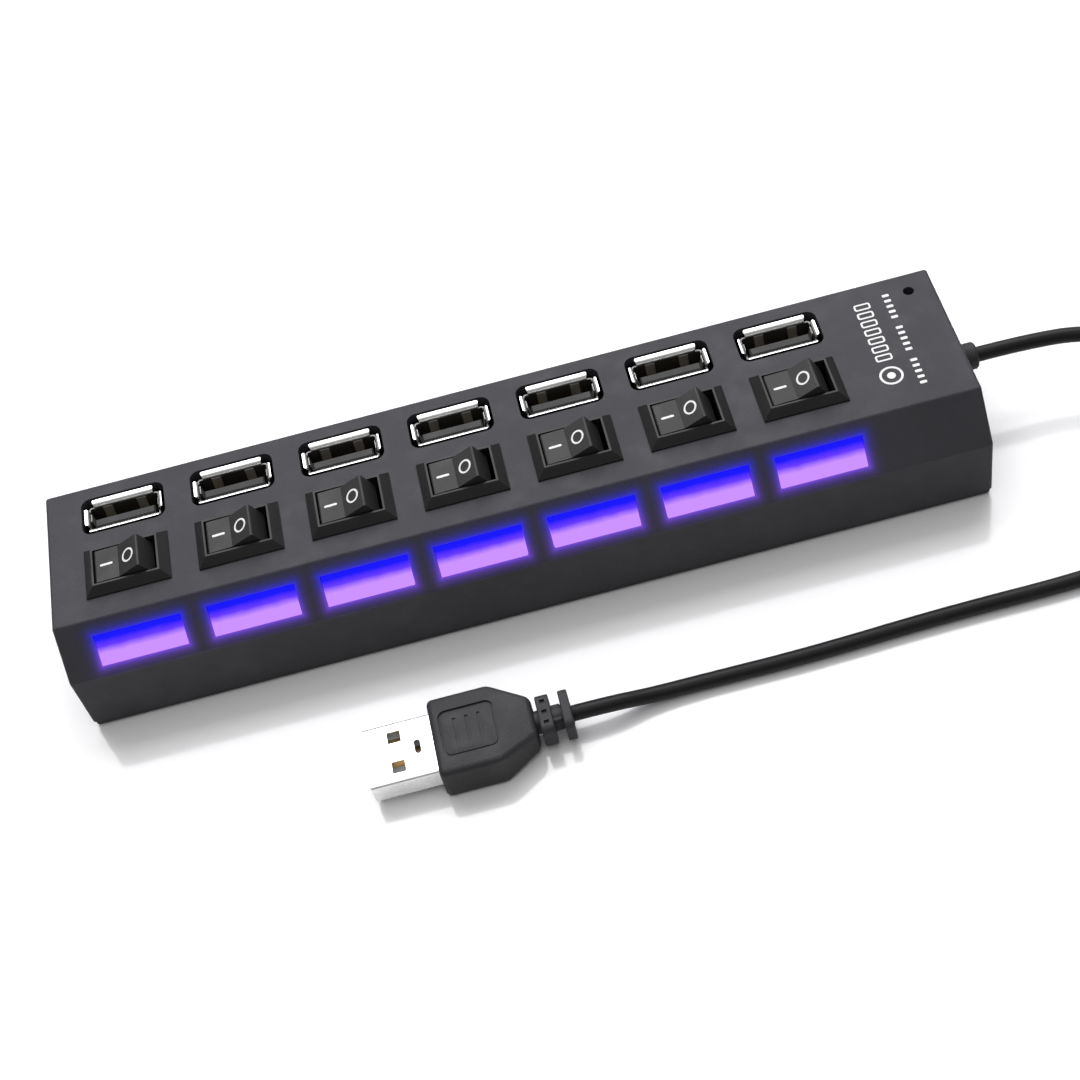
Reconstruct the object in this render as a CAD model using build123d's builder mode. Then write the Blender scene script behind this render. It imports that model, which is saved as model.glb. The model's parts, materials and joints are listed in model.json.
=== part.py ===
from build123d import *
import os
from math import cos, hypot, pi, radians, sin, tan

# Seven-port desk hub: a long six-sided case with upright sockets, a rocker switch and a lit
# window for each socket, and a captive lead that ends in a plug lying beside it.
# Millimetres. +X runs along the case towards the lead, -Y is the side with the windows, +Z is up.
# The origin is under the middle of the case, on the surface that its feet stand on.

# ---- case ----
case_length = 165.0
case_width = 43.0
top_width = 30.0
case_height = 22.0
shoulder_drop = 8.0           # from the top to where the slanted bands meet the upright sides
wall = 1.8
top_thickness = 2.0
case_round = 0.6
foot_proud = 0.4              # how far the feet lift the case
base_thickness = 1.4
base_inset = 0.25
rim_height = 2.5
rim_wall = 1.2
rim_gap = 0.15
overcut = 1.0                 # how far a deep cut runs past the face that it opens
cut_past_wall = 0.3
margin = 0.1                  # how far a shallow cut or a fused root runs past its face

# ---- rows of sockets and switches ----
port_count = 7
port_pitch = 20.2
port_row_y = 8.2
switch_row_y = -5.2

# ---- socket: a standard upright type A receptacle ----
socket_height = 13.7          # from the board to the mouth
socket_width = 13.1
socket_depth = 5.7
socket_sheet = 0.3
socket_corner = 0.7
end_lip_radius = 0.85         # each lip is a quarter roll of the sheet
end_lip = 4.1
side_lip_radius = 1.05
front_lip = 13.2
back_lip = 11.6
lip_flare = 0.4               # how much narrower each lip is at its root, on each side
lip_corner = 0.35
mouth_gap = 0.55              # dark gap between the lips and the case
mouth_corner = 1.8
tab_width = 2.0
tab_length = 2.2
insulator_gap = 0.05
insulator_base = 3.2
insulator_corner = 0.3
tongue_chamfer = 0.25
tongue_width = 11.1
tongue_thickness = 1.84
tongue_below_mouth = 1.1
contact_places = [-3.5, -1.0, 1.0, 3.5]
contact_width = 1.0
contact_sheet = 0.2
contact_below_tip = 0.9
contact_fit = 0.03
contact_tail_width = 0.6
contact_tail_above_board = 0.2
tail_length = 2.3             # from the top of the board to the end of a soldered tail

# ---- rocker switch ----
switch_body_length = 13.2
switch_body_depth = 8.7
switch_body_height = 10.6     # below the face of the case
switch_end_wall = 0.95
switch_side_wall = 0.6
switch_floor = 1.2
bezel_overlap = 1.0           # of the rim over the case, all round
bezel_edge = 0.3
bezel_height = 1.8
ridge_width = 0.35            # flat crest of the rim, round the opening
cutout_gap = 0.15
barb_reach = 0.5
barb_drop = 2.4
barb_width = 4.0
pivot_below_face = 2.4
pivot_diameter = 1.5
pivot_clearance = 0.05
pivot_pin_reach = 0.7
rocker_gap = 0.25             # each side of the rocker
rocker_tip_inset = 1.35       # from the end of the opening, with the rocker level
rocker_tip_height = 5.27      # of the two ends above the pivot
rocker_valley_height = 4.36
rocker_waist_inset = 0.35
rocker_waist_height = 1.2
rocker_belly_inset = 1.25
rocker_belly_drop = 1.0
rocker_tip_radius = 0.4
nose_radius = 0.8             # the nose under the rocker slides along the see-saw contact
nose_clearance = 0.15
rocker_tilt = 14.0            # each way from level; it rests tilted to its on side
lever_length = 8.6
lever_width = 2.6
lever_sheet = 0.5
lever_tilt = 8.0
lever_bead_radius = 0.3       # formed across the lever where it rocks
lever_dimple_radius = 0.35    # the contact point under its closed end
lever_dimple_from_end = 0.7
lever_drop = 5.0              # from the rocker's pivot to the lever's
terminal_width = 2.4
terminal_sheet = 0.6
terminal_offset = 3.8
terminal_gap = 0.12
terminal_slot_gap = 0.15

# ---- lit windows ----
window_width = 15.6
window_height = 5.7
window_drop = 5.75            # down the band, from the edge of the top to the window's middle
window_gap = 0.1
window_recess = 0.1
strip_thickness = 1.2
strip_height = 6.9
strip_overhang = 1.4
strip_gap = 0.05

# ---- board and what stands on it ----
board_thickness = 1.6
board_gap = 0.8
board_corner = 1.0
contact_hole_radius = 0.7
tab_hole_width = 1.2
tab_hole_gap = 0.3
terminal_hole_gap = 0.2
led_width = 3.2
led_depth = 2.0
led_height = 1.1
led_dome = 0.85
led_from_edge = 3.0
power_hole_diameter = 2.0
power_hole_from_end = 4.7
power_hole_from_edge = 4.1
power_led_diameter = 3.0
power_led_below_face = 2.6
power_led_flange = 1.0
power_led_rim = 0.3
power_led_barrel = 3.0
power_led_leg = 0.5
power_led_leg_offset = 1.27
chip_length = 10.0
chip_width = 3.9
chip_height = 1.5
chip_standoff = 0.1
chip_leg_reach = 1.0
chip_leg_overlap = 0.2
chip_leg_width = 0.3
chip_leg_height = 0.6
chip_leg_count = 14
chip_leg_pitch = 0.65
chip_row_y = 1.2
crystal_length = 10.2
crystal_width = 3.6
crystal_height = 3.4
crystal_round = 0.5
capacitor_diameter = 5.0
capacitor_height = 6.5
capacitor_round = 0.4
capacitor_place_y = 4.6

# ---- fastenings ----
post_diameter = 4.4
post_from_end = 5.0
post_gap = 0.45               # between the first posts and the first socket
post_past_last_port = 13.1
post_y = 11.6
boss_diameter = 5.6
screw_diameter = 2.0
screw_head_diameter = 3.8
screw_head_height = 1.3
screw_head_round = 0.4
screw_recess = 0.2
screw_grip = 5.0              # thread inside each post
screw_clearance = 0.25
pilot_clearance = 0.03
cross_length = 2.2
cross_width = 0.5
cross_depth = 0.7
foot_diameter = 8.0
foot_sunk = 0.6
foot_from_end = 10.5
foot_from_side = 6.5
foot_gap = 0.1
foot_round = 0.3

# ---- power inlet, on the end wall beside the lead ----
jack_y = -11.0
jack_width = 6.2
jack_height = 5.6
jack_length = 9.4
jack_barrel_diameter = 5.0
jack_barrel_gap = 0.2
jack_barrel_recess = 0.2
jack_bore_diameter = 3.5
jack_bore_depth = 8.0
jack_pin_diameter = 1.3
jack_pin_recess = 1.0
jack_pin_round = 0.4
jack_wall_gap = 0.1

# ---- lead ----
cable_diameter = 2.8
relief_above_board = 4.7      # of the lead's middle
relief_collar_diameter = 5.0
relief_collar_length = 4.2
relief_neck_diameter = 4.2
relief_neck_gap = 0.1
relief_flange_diameter = 6.2
relief_flange_length = 1.6
relief_stub_length = 2.0
relief_wall_gap = 0.05
relief_round = 0.7
wire_diameter = 0.9
wire_spacing = 1.0            # two wires over two
wire_run = 3.0                # from the lead's end to where the lower pair turns down
wire_bend = 1.0
wire_step = 1.5               # between the upper pair's turn and the lower pair's
coil_centre_x = 128.0
coil_centre_y = -22.5
coil_radius = 14.6            # at the middle of the turns
coil_turns = 3.5
coil_pitch = 2.85
floor_gap = 0.01
bend_share = 0.45             # of the shorter run beside a bend, taken up by the bend
tie_width = 6.0
tie_sheet = 0.55
tie_gap = 0.45
tie_fit = 0.03
tie_outer_corner = 1.0
tie_inner_corner = 0.15

# ---- plug: a standard type A plug lying flat ----
plug_tip_x = -35.0
plug_axis_y = -46.5
plug_thickness = 7.6
plug_width = 15.6
plug_shell_width = 12.0
plug_shell_thickness = 4.5
plug_shell_sheet = 0.3
plug_shell_corner = 0.6
plug_shell_reach = 11.8       # bare metal in front of the grip
plug_shell_sunk = 5.0
plug_straight = 10.7
plug_taper = 6.7
plug_neck_width = 7.8
plug_neck_thickness = 5.6
plug_round = 0.9
plug_shoulder_round = 2.2
plug_front_round = 1.0
plug_hole_side = 2.3
plug_hole_from_tip = 5.3
plug_hole_spread = 3.0
plug_slot_from_tip = 9.0
plug_slot_length = 2.8
plug_slot_width = 1.1
plug_block_thickness = 1.9
plug_block_back = 0.8
plug_block_end_gap = 0.2
plug_fit = 0.03
plug_outer_contact_start = 1.0   # behind the front of the block
plug_inner_contact_start = 2.0
plug_contact_sheet = 0.15
plug_relief_length = 6.4
plug_relief_core = 4.0
plug_relief_root = 1.0
plug_rib_corner = 1.4
plug_ribs = [(0.8, 2.6), (4.6, 1.8)]   # start behind the neck and thickness of each rib
panel_length = 9.6
panel_width = 9.2
panel_corner = 1.4
panel_groove = 0.35
panel_depth = 0.25
arrow_length = 5.2
arrow_width = 3.6
arrow_stem = 0.9
panel_from_front = 1.5

# ---- places worked out from the sizes above ----
half_length = case_length / 2
first_port_inset = post_from_end + post_diameter / 2 + post_gap + socket_width / 2
shoulder_height = case_height - shoulder_drop
base_bottom = foot_proud
seam_height = base_bottom + base_thickness
board_top = case_height - socket_height
board_bottom = board_top - board_thickness
board_length = case_length - 2 * (wall + board_gap)
board_width = case_width - 2 * (wall + board_gap)
port_places = [-half_length + first_port_inset + port_pitch * i for i in range(port_count)]
opening_length = switch_body_length - 2 * switch_end_wall
opening_depth = switch_body_depth - 2 * switch_side_wall
bezel_length = switch_body_length + 2 * bezel_overlap
bezel_depth = switch_body_depth + 2 * bezel_overlap
pivot_height = case_height - pivot_below_face
lever_height = pivot_height - lever_drop
nose_drop = lever_drop - lever_sheet / 2 - nose_clearance - nose_radius
post_places = [
    (x, y)
    for x in (-half_length + post_from_end, port_places[-1] + post_past_last_port)
    for y in (-post_y, post_y)
]
foot_places = [
    (sx * (half_length - foot_from_end), sy * (case_width / 2 - foot_from_side))
    for sx in (-1, 1)
    for sy in (-1, 1)
]
board_places = [port_places[0] + port_pitch / 2 + port_pitch * i for i in range(port_count - 1)]
power_led_x = half_length - power_hole_from_end
power_led_y = top_width / 2 - power_hole_from_edge
relief_height = board_top + relief_above_board
relief_end_x = half_length + relief_collar_length
plug_axis_z = plug_thickness / 2
plug_grip_x = plug_tip_x + plug_shell_reach
plug_neck_x = plug_grip_x + plug_straight + plug_taper
plug_end_x = plug_neck_x + plug_relief_length
floor_z = cable_diameter / 2 + floor_gap
coil_top_z = floor_z + coil_pitch * coil_turns

# The two slanted bands run down from the edges of the top to the shoulders.
band_run = (case_width - top_width) / 2
band_fall = case_height - shoulder_height
band_length = hypot(band_run, band_fall)


def band_point(down, depth):
    """Distance out from the middle, and height, of a point down the band and under its face."""
    out = top_width / 2 + (down * band_run - depth * band_fall) / band_length
    up = case_height - (down * band_fall + depth * band_run) / band_length
    return out, up


def front_band(down, depth):
    """Plane on the front band: X along the case, Y up the band, Z out of it."""
    out, up = band_point(down, depth)
    return Plane(origin=(0, -out, up), x_dir=(1, 0, 0), z_dir=(0, -band_fall, band_run))


def along(points, start, end):
    """Solid with a profile of (Y, Z) points, from one X to another."""
    with BuildPart() as bar:
        with BuildSketch(Plane.YZ.offset(start)):
            with BuildLine():
                Polyline(*points, close=True)
            make_face()
        extrude(amount=end - start)
    return bar.part


os.makedirs("parts", exist_ok=True)
pieces = {}


def keep(name, part):
    """Label a finished piece and write it to its own file."""
    part.label = name
    pieces[name] = part
    export_step(part, f"parts/{name}.step")


# ---- top cover ----
outline = [
    (-case_width / 2, seam_height),
    (-case_width / 2, shoulder_height),
    (-top_width / 2, case_height),
    (top_width / 2, case_height),
    (case_width / 2, shoulder_height),
    (case_width / 2, seam_height),
]
ceiling = case_height - top_thickness
ceiling_down = (top_thickness - wall * band_run / band_length) * band_length / band_fall
ceiling_half = band_point(ceiling_down, wall)[0]
inner_half = case_width / 2 - wall
inner_down = (inner_half - top_width / 2 + wall * band_fall / band_length) * band_length / band_run
inner_shoulder = band_point(inner_down, wall)[1]
hollow = [
    (-inner_half, seam_height - overcut),
    (-inner_half, inner_shoulder),
    (-ceiling_half, ceiling),
    (ceiling_half, ceiling),
    (inner_half, inner_shoulder),
    (inner_half, seam_height - overcut),
]
mouth_width = socket_width + 2 * (end_lip_radius - socket_sheet + mouth_gap)
mouth_depth = socket_depth + 2 * (side_lip_radius - socket_sheet + mouth_gap)

with BuildPart() as top_cover:
    add(along(outline, -half_length, half_length))
    fillet(top_cover.edges().filter_by(lambda e: e.center().Z > seam_height + margin), case_round)
    add(along(hollow, -half_length + wall, half_length - wall), mode=Mode.SUBTRACT)
    with BuildSketch(Plane.XY.offset(board_top)):
        with Locations(*post_places):
            Circle(post_diameter / 2)
    extrude(amount=ceiling - board_top + top_thickness / 2)
    with BuildSketch(Plane.XY.offset(board_top)):
        with Locations(*post_places):
            Circle(screw_diameter / 2 + pilot_clearance)
    extrude(amount=screw_grip + overcut, mode=Mode.SUBTRACT)
    with BuildSketch(Plane.XY.offset(case_height)):
        with Locations(*[(x, port_row_y) for x in port_places]):
            RectangleRounded(mouth_width, mouth_depth, mouth_corner)
        with Locations(*[(x, switch_row_y) for x in port_places]):
            Rectangle(switch_body_length + 2 * cutout_gap, switch_body_depth + 2 * cutout_gap)
        with Locations((power_led_x, power_led_y)):
            Circle(power_hole_diameter / 2)
    extrude(amount=top_thickness + margin, both=True, mode=Mode.SUBTRACT)
    with BuildSketch(front_band(window_drop, 0)):
        with Locations(*[(x, 0) for x in port_places]):
            Rectangle(window_width, window_height)
    extrude(amount=wall + cut_past_wall, both=True, mode=Mode.SUBTRACT)
    with BuildSketch(Plane.YZ.offset(half_length - wall - cut_past_wall)):
        with Locations((0, relief_height)):
            Circle(relief_neck_diameter / 2 + relief_neck_gap)
        with Locations((jack_y, board_top + jack_height / 2)):
            Circle(jack_barrel_diameter / 2 + jack_barrel_gap)
    extrude(amount=wall + 2 * cut_past_wall, mode=Mode.SUBTRACT)
keep("top_cover", top_cover.part)

# ---- bottom cover: plate, locating rim, bosses under the board ----
with BuildPart() as bottom_cover:
    with BuildSketch(Plane.XY.offset(base_bottom)):
        RectangleRounded(case_length - 2 * base_inset, case_width - 2 * base_inset, case_round)
    extrude(amount=base_thickness)
    fillet(bottom_cover.edges().group_by(Axis.Z)[0], base_inset)
    with BuildSketch(Plane.XY.offset(seam_height)):
        rim_length = case_length - 2 * (wall + rim_gap)
        rim_depth = case_width - 2 * (wall + rim_gap)
        Rectangle(rim_length, rim_depth)
        Rectangle(rim_length - 2 * rim_wall, rim_depth - 2 * rim_wall, mode=Mode.SUBTRACT)
    extrude(amount=rim_height)
    with BuildSketch(Plane.XY.offset(base_bottom)):
        with Locations(*post_places):
            Circle(boss_diameter / 2)
        with Locations((board_places[1], 0), (board_places[3], 0)):
            Circle(boss_diameter / 2)
    extrude(amount=board_bottom - base_bottom)
    with BuildSketch(Plane.XY.offset(base_bottom)):
        with Locations(*post_places):
            Circle(screw_diameter / 2 + screw_clearance)
    extrude(amount=board_bottom - base_bottom, mode=Mode.SUBTRACT)
    with BuildSketch(Plane.XY.offset(base_bottom)):
        with Locations(*post_places):
            Circle(screw_head_diameter / 2 + screw_clearance)
    extrude(amount=screw_recess + screw_head_height, mode=Mode.SUBTRACT)
    with BuildSketch(Plane.XY.offset(base_bottom)):
        with Locations(*foot_places):
            Circle(foot_diameter / 2)
    extrude(amount=foot_sunk, mode=Mode.SUBTRACT)
keep("bottom_cover", bottom_cover.part)

# ---- circuit board ----
with BuildPart() as circuit_board:
    with BuildSketch(Plane.XY.offset(board_bottom)):
        RectangleRounded(board_length, board_width, board_corner)
        with Locations(*post_places):
            Circle(screw_diameter / 2 + screw_clearance, mode=Mode.SUBTRACT)
        for x in port_places:
            with Locations(*[(x + c, port_row_y + contact_sheet / 2) for c in contact_places]):
                Circle(contact_hole_radius, mode=Mode.SUBTRACT)
            with Locations(*[(x + s * socket_width / 2, port_row_y) for s in (-1, 1)]):
                Rectangle(tab_hole_width, tab_width + 2 * tab_hole_gap, mode=Mode.SUBTRACT)
            with Locations(*[(x + s, switch_row_y) for s in (0, terminal_offset)]):
                gap = 2 * terminal_hole_gap
                Rectangle(terminal_sheet + gap, terminal_width + gap, mode=Mode.SUBTRACT)
    extrude(amount=board_thickness)
keep("circuit_board", circuit_board.part)


# ---- sockets ----
def lip(radius, length):
    """Quarter roll of the sheet, standing on the XY plane with its outer face at X = 0."""
    reach = radius - socket_sheet
    with BuildPart() as roll:
        with BuildSketch(Plane.XZ):
            with BuildLine():
                Line((-socket_sheet, 0), (0, 0))
                under = CenterArc((reach, 0), reach, 180, -90)
                Line(under @ 1, (reach, radius))
                CenterArc((reach, 0), radius, 90, 90)
            make_face()
        extrude(amount=length / 2, both=True)
        with BuildSketch(Plane.XY) as plan:
            with BuildLine():
                Polyline(
                    (-socket_sheet, lip_flare - length / 2),
                    (reach, -length / 2),
                    (reach, length / 2),
                    (-socket_sheet, length / 2 - lip_flare),
                    close=True,
                )
            make_face()
            fillet(plan.vertices().group_by(Axis.X)[-1], lip_corner)
        extrude(amount=radius, mode=Mode.INTERSECT)
    return roll.part


def port_shell(x):
    """Folded sheet tube with four rolled lips round its mouth and two soldered tabs."""
    inside = (socket_width - 2 * socket_sheet, socket_depth - 2 * socket_sheet)
    with BuildPart() as shell:
        with BuildSketch(Plane.XY.offset(board_top)):
            with Locations((x, port_row_y)):
                RectangleRounded(socket_width, socket_depth, socket_corner)
                RectangleRounded(*inside, socket_corner - socket_sheet, mode=Mode.SUBTRACT)
        extrude(amount=case_height - side_lip_radius - board_top)
        for turn in (0, 180):
            place = Location((x, port_row_y, case_height - end_lip_radius), (0, 0, turn))
            add(place * Pos(socket_width / 2, 0, 0) * lip(end_lip_radius, end_lip))
            with BuildSketch(Plane(place)):
                with Locations(((socket_width - socket_sheet) / 2, 0)):
                    Rectangle(socket_sheet, end_lip - 2 * lip_flare)
            extrude(amount=end_lip_radius - side_lip_radius)
        for turn, length in ((90, back_lip), (270, front_lip)):
            place = Location((x, port_row_y, case_height - side_lip_radius), (0, 0, turn))
            add(place * Pos(socket_depth / 2, 0, 0) * lip(side_lip_radius, length))
        with BuildSketch(Plane.XY.offset(board_top)):
            tab_x = (socket_width - socket_sheet) / 2
            with Locations((x - tab_x, port_row_y), (x + tab_x, port_row_y)):
                Rectangle(socket_sheet, tab_width)
        extrude(amount=-tab_length)
    return shell.part


def port_insulator(x):
    """Plastic base with the tongue that carries the contacts, set to one side of the mouth."""
    tongue_y = port_row_y - tongue_thickness / 2
    with BuildPart() as insulator:
        with BuildSketch(Plane.XY.offset(board_top)):
            with Locations((x, port_row_y)):
                inset = 2 * (socket_sheet + insulator_gap)
                RectangleRounded(socket_width - inset, socket_depth - inset, insulator_corner)
        extrude(amount=insulator_base)
        with BuildSketch(Plane.XY.offset(board_top)):
            with Locations((x, tongue_y)):
                Rectangle(tongue_width, tongue_thickness)
        extrude(amount=socket_height - tongue_below_mouth)
        chamfer(insulator.edges().group_by(Axis.Z)[-1], tongue_chamfer)
        with BuildSketch(Plane.XY.offset(board_top)):
            with Locations(*[(x + c, port_row_y + contact_sheet / 2) for c in contact_places]):
                Rectangle(contact_width + 2 * contact_fit, contact_sheet + 2 * contact_fit)
        extrude(amount=insulator_base, mode=Mode.SUBTRACT)
    return insulator.part


for number, x in enumerate(port_places, start=1):
    keep(f"port_shell_{number}", port_shell(x))
    keep(f"port_insulator_{number}", port_insulator(x))

with BuildPart() as port_contacts:
    contact_top = case_height - tongue_below_mouth - contact_below_tip
    with BuildSketch(Plane.XY.offset(board_top - tail_length)):
        for x in port_places:
            places = [(x + c, port_row_y + contact_fit + contact_sheet / 2) for c in contact_places]
            with Locations(*places):
                Rectangle(contact_tail_width, contact_sheet)
    extrude(amount=tail_length + contact_tail_above_board)
    with BuildSketch(Plane.XY.offset(board_top + contact_tail_above_board)):
        for x in port_places:
            places = [(x + c, port_row_y + contact_fit + contact_sheet / 2) for c in contact_places]
            with Locations(*places):
                Rectangle(contact_width, contact_sheet)
    extrude(amount=contact_top - board_top - contact_tail_above_board)
keep("port_contacts", port_contacts.part)


# ---- rocker switches ----
def switch_frame(x):
    """Square-sided housing with a sloping rim, snapped into the case from above."""
    body_bottom = case_height - switch_body_height
    with BuildPart() as frame:
        with BuildSketch(Plane.XY.offset(body_bottom)):
            with Locations((x, switch_row_y)):
                Rectangle(switch_body_length, switch_body_depth)
        extrude(amount=switch_body_height)
        with BuildSketch(Plane.XY.offset(case_height)):
            with Locations((x, switch_row_y)):
                Rectangle(bezel_length, bezel_depth)
        extrude(amount=bezel_edge)
        with BuildSketch(Plane.XY.offset(case_height + bezel_edge)):
            with Locations((x, switch_row_y)):
                Rectangle(bezel_length, bezel_depth)
        with BuildSketch(Plane.XY.offset(case_height + bezel_height)):
            with Locations((x, switch_row_y)):
                Rectangle(opening_length + 2 * ridge_width, opening_depth + 2 * ridge_width)
        loft()
        with BuildSketch(Plane.XY.offset(body_bottom + switch_floor)):
            with Locations((x, switch_row_y)):
                Rectangle(opening_length, opening_depth)
        extrude(amount=switch_body_height + bezel_height, mode=Mode.SUBTRACT)
        with BuildSketch(Plane.XZ.offset(-switch_row_y)):
            with Locations((x, pivot_height)):
                Circle(pivot_diameter / 2 + pivot_clearance)
        extrude(amount=switch_body_depth, both=True, mode=Mode.SUBTRACT)
        with BuildSketch(Plane.XY.offset(body_bottom)):
            with Locations(*[(x + s, switch_row_y) for s in (0, terminal_offset)]):
                gap = 2 * terminal_slot_gap
                Rectangle(terminal_sheet + gap, terminal_width + gap)
        extrude(amount=switch_floor, mode=Mode.SUBTRACT)
        barb_top = case_height - top_thickness - margin
        with BuildSketch(Plane.XZ.offset(-switch_row_y)):
            for side in (-1, 1):
                root = x + side * switch_body_length / 2
                with BuildLine():
                    Polyline(
                        (root - side * margin, barb_top),
                        (root + side * barb_reach, barb_top),
                        (root - side * margin, barb_top - barb_drop),
                        close=True,
                    )
                make_face()
        extrude(amount=barb_width / 2, both=True)
    return frame.part


def tilted(x, height, angle):
    """Plane across a switch's row, X along the case and Y up, turned about a pivot."""
    lean = radians(angle)
    return Plane(
        origin=(x, switch_row_y, height), x_dir=(cos(lean), 0, sin(lean)), z_dir=(0, -1, 0)
    )


def rocker(x):
    """Button with a shallow valley between its two halves, on a pin, tilted to its on side."""
    half_depth = opening_depth / 2 - rocker_gap
    tip = opening_length / 2 - rocker_tip_inset
    waist = opening_length / 2 - rocker_waist_inset
    belly = opening_length / 2 - rocker_belly_inset
    plane = tilted(x, pivot_height, rocker_tilt)
    with BuildPart() as button:
        with BuildSketch(plane):
            with BuildLine():
                Polyline(
                    (0, rocker_valley_height),
                    (tip, rocker_tip_height),
                    (waist, rocker_waist_height),
                    (belly, -rocker_belly_drop),
                    (-belly, -rocker_belly_drop),
                    (-waist, rocker_waist_height),
                    (-tip, rocker_tip_height),
                    close=True,
                )
            make_face()
        extrude(amount=half_depth, both=True)
        tips = button.edges().filter_by(Axis.Y).group_by(lambda e: round(hypot(
            e.center().X - x, e.center().Z - pivot_height), 2))[-1]
        fillet(tips, rocker_tip_radius)
        with BuildSketch(plane):
            with Locations((0, -nose_drop / 2)):
                Rectangle(2 * nose_radius, nose_drop)
            with Locations((0, -nose_drop)):
                Circle(nose_radius)
        extrude(amount=lever_width / 2, both=True)
        with BuildSketch(plane):
            Circle(pivot_diameter / 2)
        extrude(amount=half_depth + pivot_pin_reach, both=True)
    return button.part


def contact_lever(x):
    """See-saw strip under the rocker, with its closed end down."""
    with BuildPart() as lever:
        with BuildSketch(tilted(x, lever_height, -lever_tilt)):
            Rectangle(lever_length, lever_sheet)
            Circle(lever_bead_radius)
            with Locations((lever_length / 2 - lever_dimple_from_end, -lever_sheet / 2)):
                Circle(lever_dimple_radius)
        extrude(amount=lever_width / 2, both=True)
    return lever.part


for number, x in enumerate(port_places, start=1):
    keep(f"switch_frame_{number}", switch_frame(x))
    keep(f"rocker_{number}", rocker(x))
    keep(f"contact_lever_{number}", contact_lever(x))

pivot_post_top = lever_height - lever_bead_radius - terminal_gap
lever_end_drop = terminal_offset * sin(radians(lever_tilt)) + lever_sheet / 2 + lever_dimple_radius
closed_post_top = lever_height - lever_end_drop - terminal_gap
with BuildPart() as switch_terminals:
    for x in port_places:
        for offset, top in ((0, pivot_post_top), (terminal_offset, closed_post_top)):
            with BuildSketch(Plane.XY.offset(board_top - tail_length)):
                with Locations((x + offset, switch_row_y)):
                    Rectangle(terminal_sheet, terminal_width)
            extrude(amount=top - board_top + tail_length)
keep("switch_terminals", switch_terminals.part)

# ---- lit windows: one clear strip behind the front band, with a pad in each opening ----
strip_depth = wall + strip_gap
strip_ends = (
    port_places[0] - window_width / 2 - strip_overhang,
    port_places[-1] + window_width / 2 + strip_overhang,
)
strip_profile = [
    (-band_point(window_drop + side * strip_height / 2, depth)[0],
     band_point(window_drop + side * strip_height / 2, depth)[1])
    for side, depth in (
        (-1, strip_depth),
        (1, strip_depth),
        (1, strip_depth + strip_thickness),
        (-1, strip_depth + strip_thickness),
    )
]
with BuildPart() as light_strip:
    add(along(strip_profile, *strip_ends))
    with BuildSketch(front_band(window_drop, strip_depth + strip_thickness / 2)):
        with Locations(*[(x, 0) for x in port_places]):
            Rectangle(window_width - 2 * window_gap, window_height - 2 * window_gap)
    extrude(amount=strip_depth + strip_thickness / 2 - window_recess)
keep("light_strip", light_strip.part)

# ---- lamps on the board ----
led_row_y = -(board_width / 2 - led_from_edge)
with BuildPart() as port_leds:
    with BuildSketch(Plane.XY.offset(board_top)):
        with Locations(*[(x, led_row_y) for x in port_places]):
            Rectangle(led_width, led_depth)
    extrude(amount=led_height)
    with Locations(*[(x, led_row_y, board_top + led_height) for x in port_places]):
        Sphere(led_dome)
keep("port_leds", port_leds.part)

with BuildPart() as power_led:
    dome_top = case_height - power_led_below_face
    dome_base = dome_top - power_led_diameter / 2
    barrel_bottom = dome_base - power_led_barrel
    with BuildSketch(Plane.XY.offset(board_top)):
        with Locations(*[(power_led_x + s * power_led_leg_offset, power_led_y) for s in (-1, 1)]):
            Rectangle(power_led_leg, power_led_leg)
    extrude(amount=barrel_bottom - board_top)
    with BuildSketch(Plane.XY.offset(barrel_bottom)):
        with Locations((power_led_x, power_led_y)):
            Circle(power_led_diameter / 2 + power_led_rim)
    extrude(amount=power_led_flange)
    with BuildSketch(Plane.XY.offset(barrel_bottom)):
        with Locations((power_led_x, power_led_y)):
            Circle(power_led_diameter / 2)
    extrude(amount=power_led_barrel)
    with Locations((power_led_x, power_led_y, dome_base)):
        Sphere(power_led_diameter / 2)
keep("power_led", power_led.part)

# ---- chips, crystal and capacitors ----
with BuildPart() as hub_controllers:
    chip_places = [(board_places[1], chip_row_y), (board_places[4], chip_row_y)]
    with BuildSketch(Plane.XY.offset(board_top + chip_standoff)):
        with Locations(*chip_places):
            Rectangle(chip_length, chip_width)
    extrude(amount=chip_height)
    with BuildSketch(Plane.XY.offset(board_top)):
        with Locations(*chip_places):
            with GridLocations(chip_leg_pitch, chip_width + chip_leg_reach, chip_leg_count, 2):
                Rectangle(chip_leg_width, chip_leg_reach + chip_leg_overlap)
    extrude(amount=chip_leg_height)
keep("hub_controllers", hub_controllers.part)

with BuildPart() as crystal:
    with BuildSketch(Plane.XY.offset(board_top)):
        with Locations((board_places[3], chip_row_y)):
            SlotOverall(crystal_length, crystal_width)
    extrude(amount=crystal_height)
    fillet(crystal.edges().group_by(Axis.Z)[-1], crystal_round)
keep("crystal", crystal.part)

with BuildPart() as capacitors:
    with BuildSketch(Plane.XY.offset(board_top)):
        with Locations(*[(post_places[-1][0], y) for y in (-capacitor_place_y, capacitor_place_y)]):
            Circle(capacitor_diameter / 2)
    extrude(amount=capacitor_height)
    fillet(capacitors.edges().group_by(Axis.Z)[-1], capacitor_round)
keep("capacitors", capacitors.part)

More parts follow.
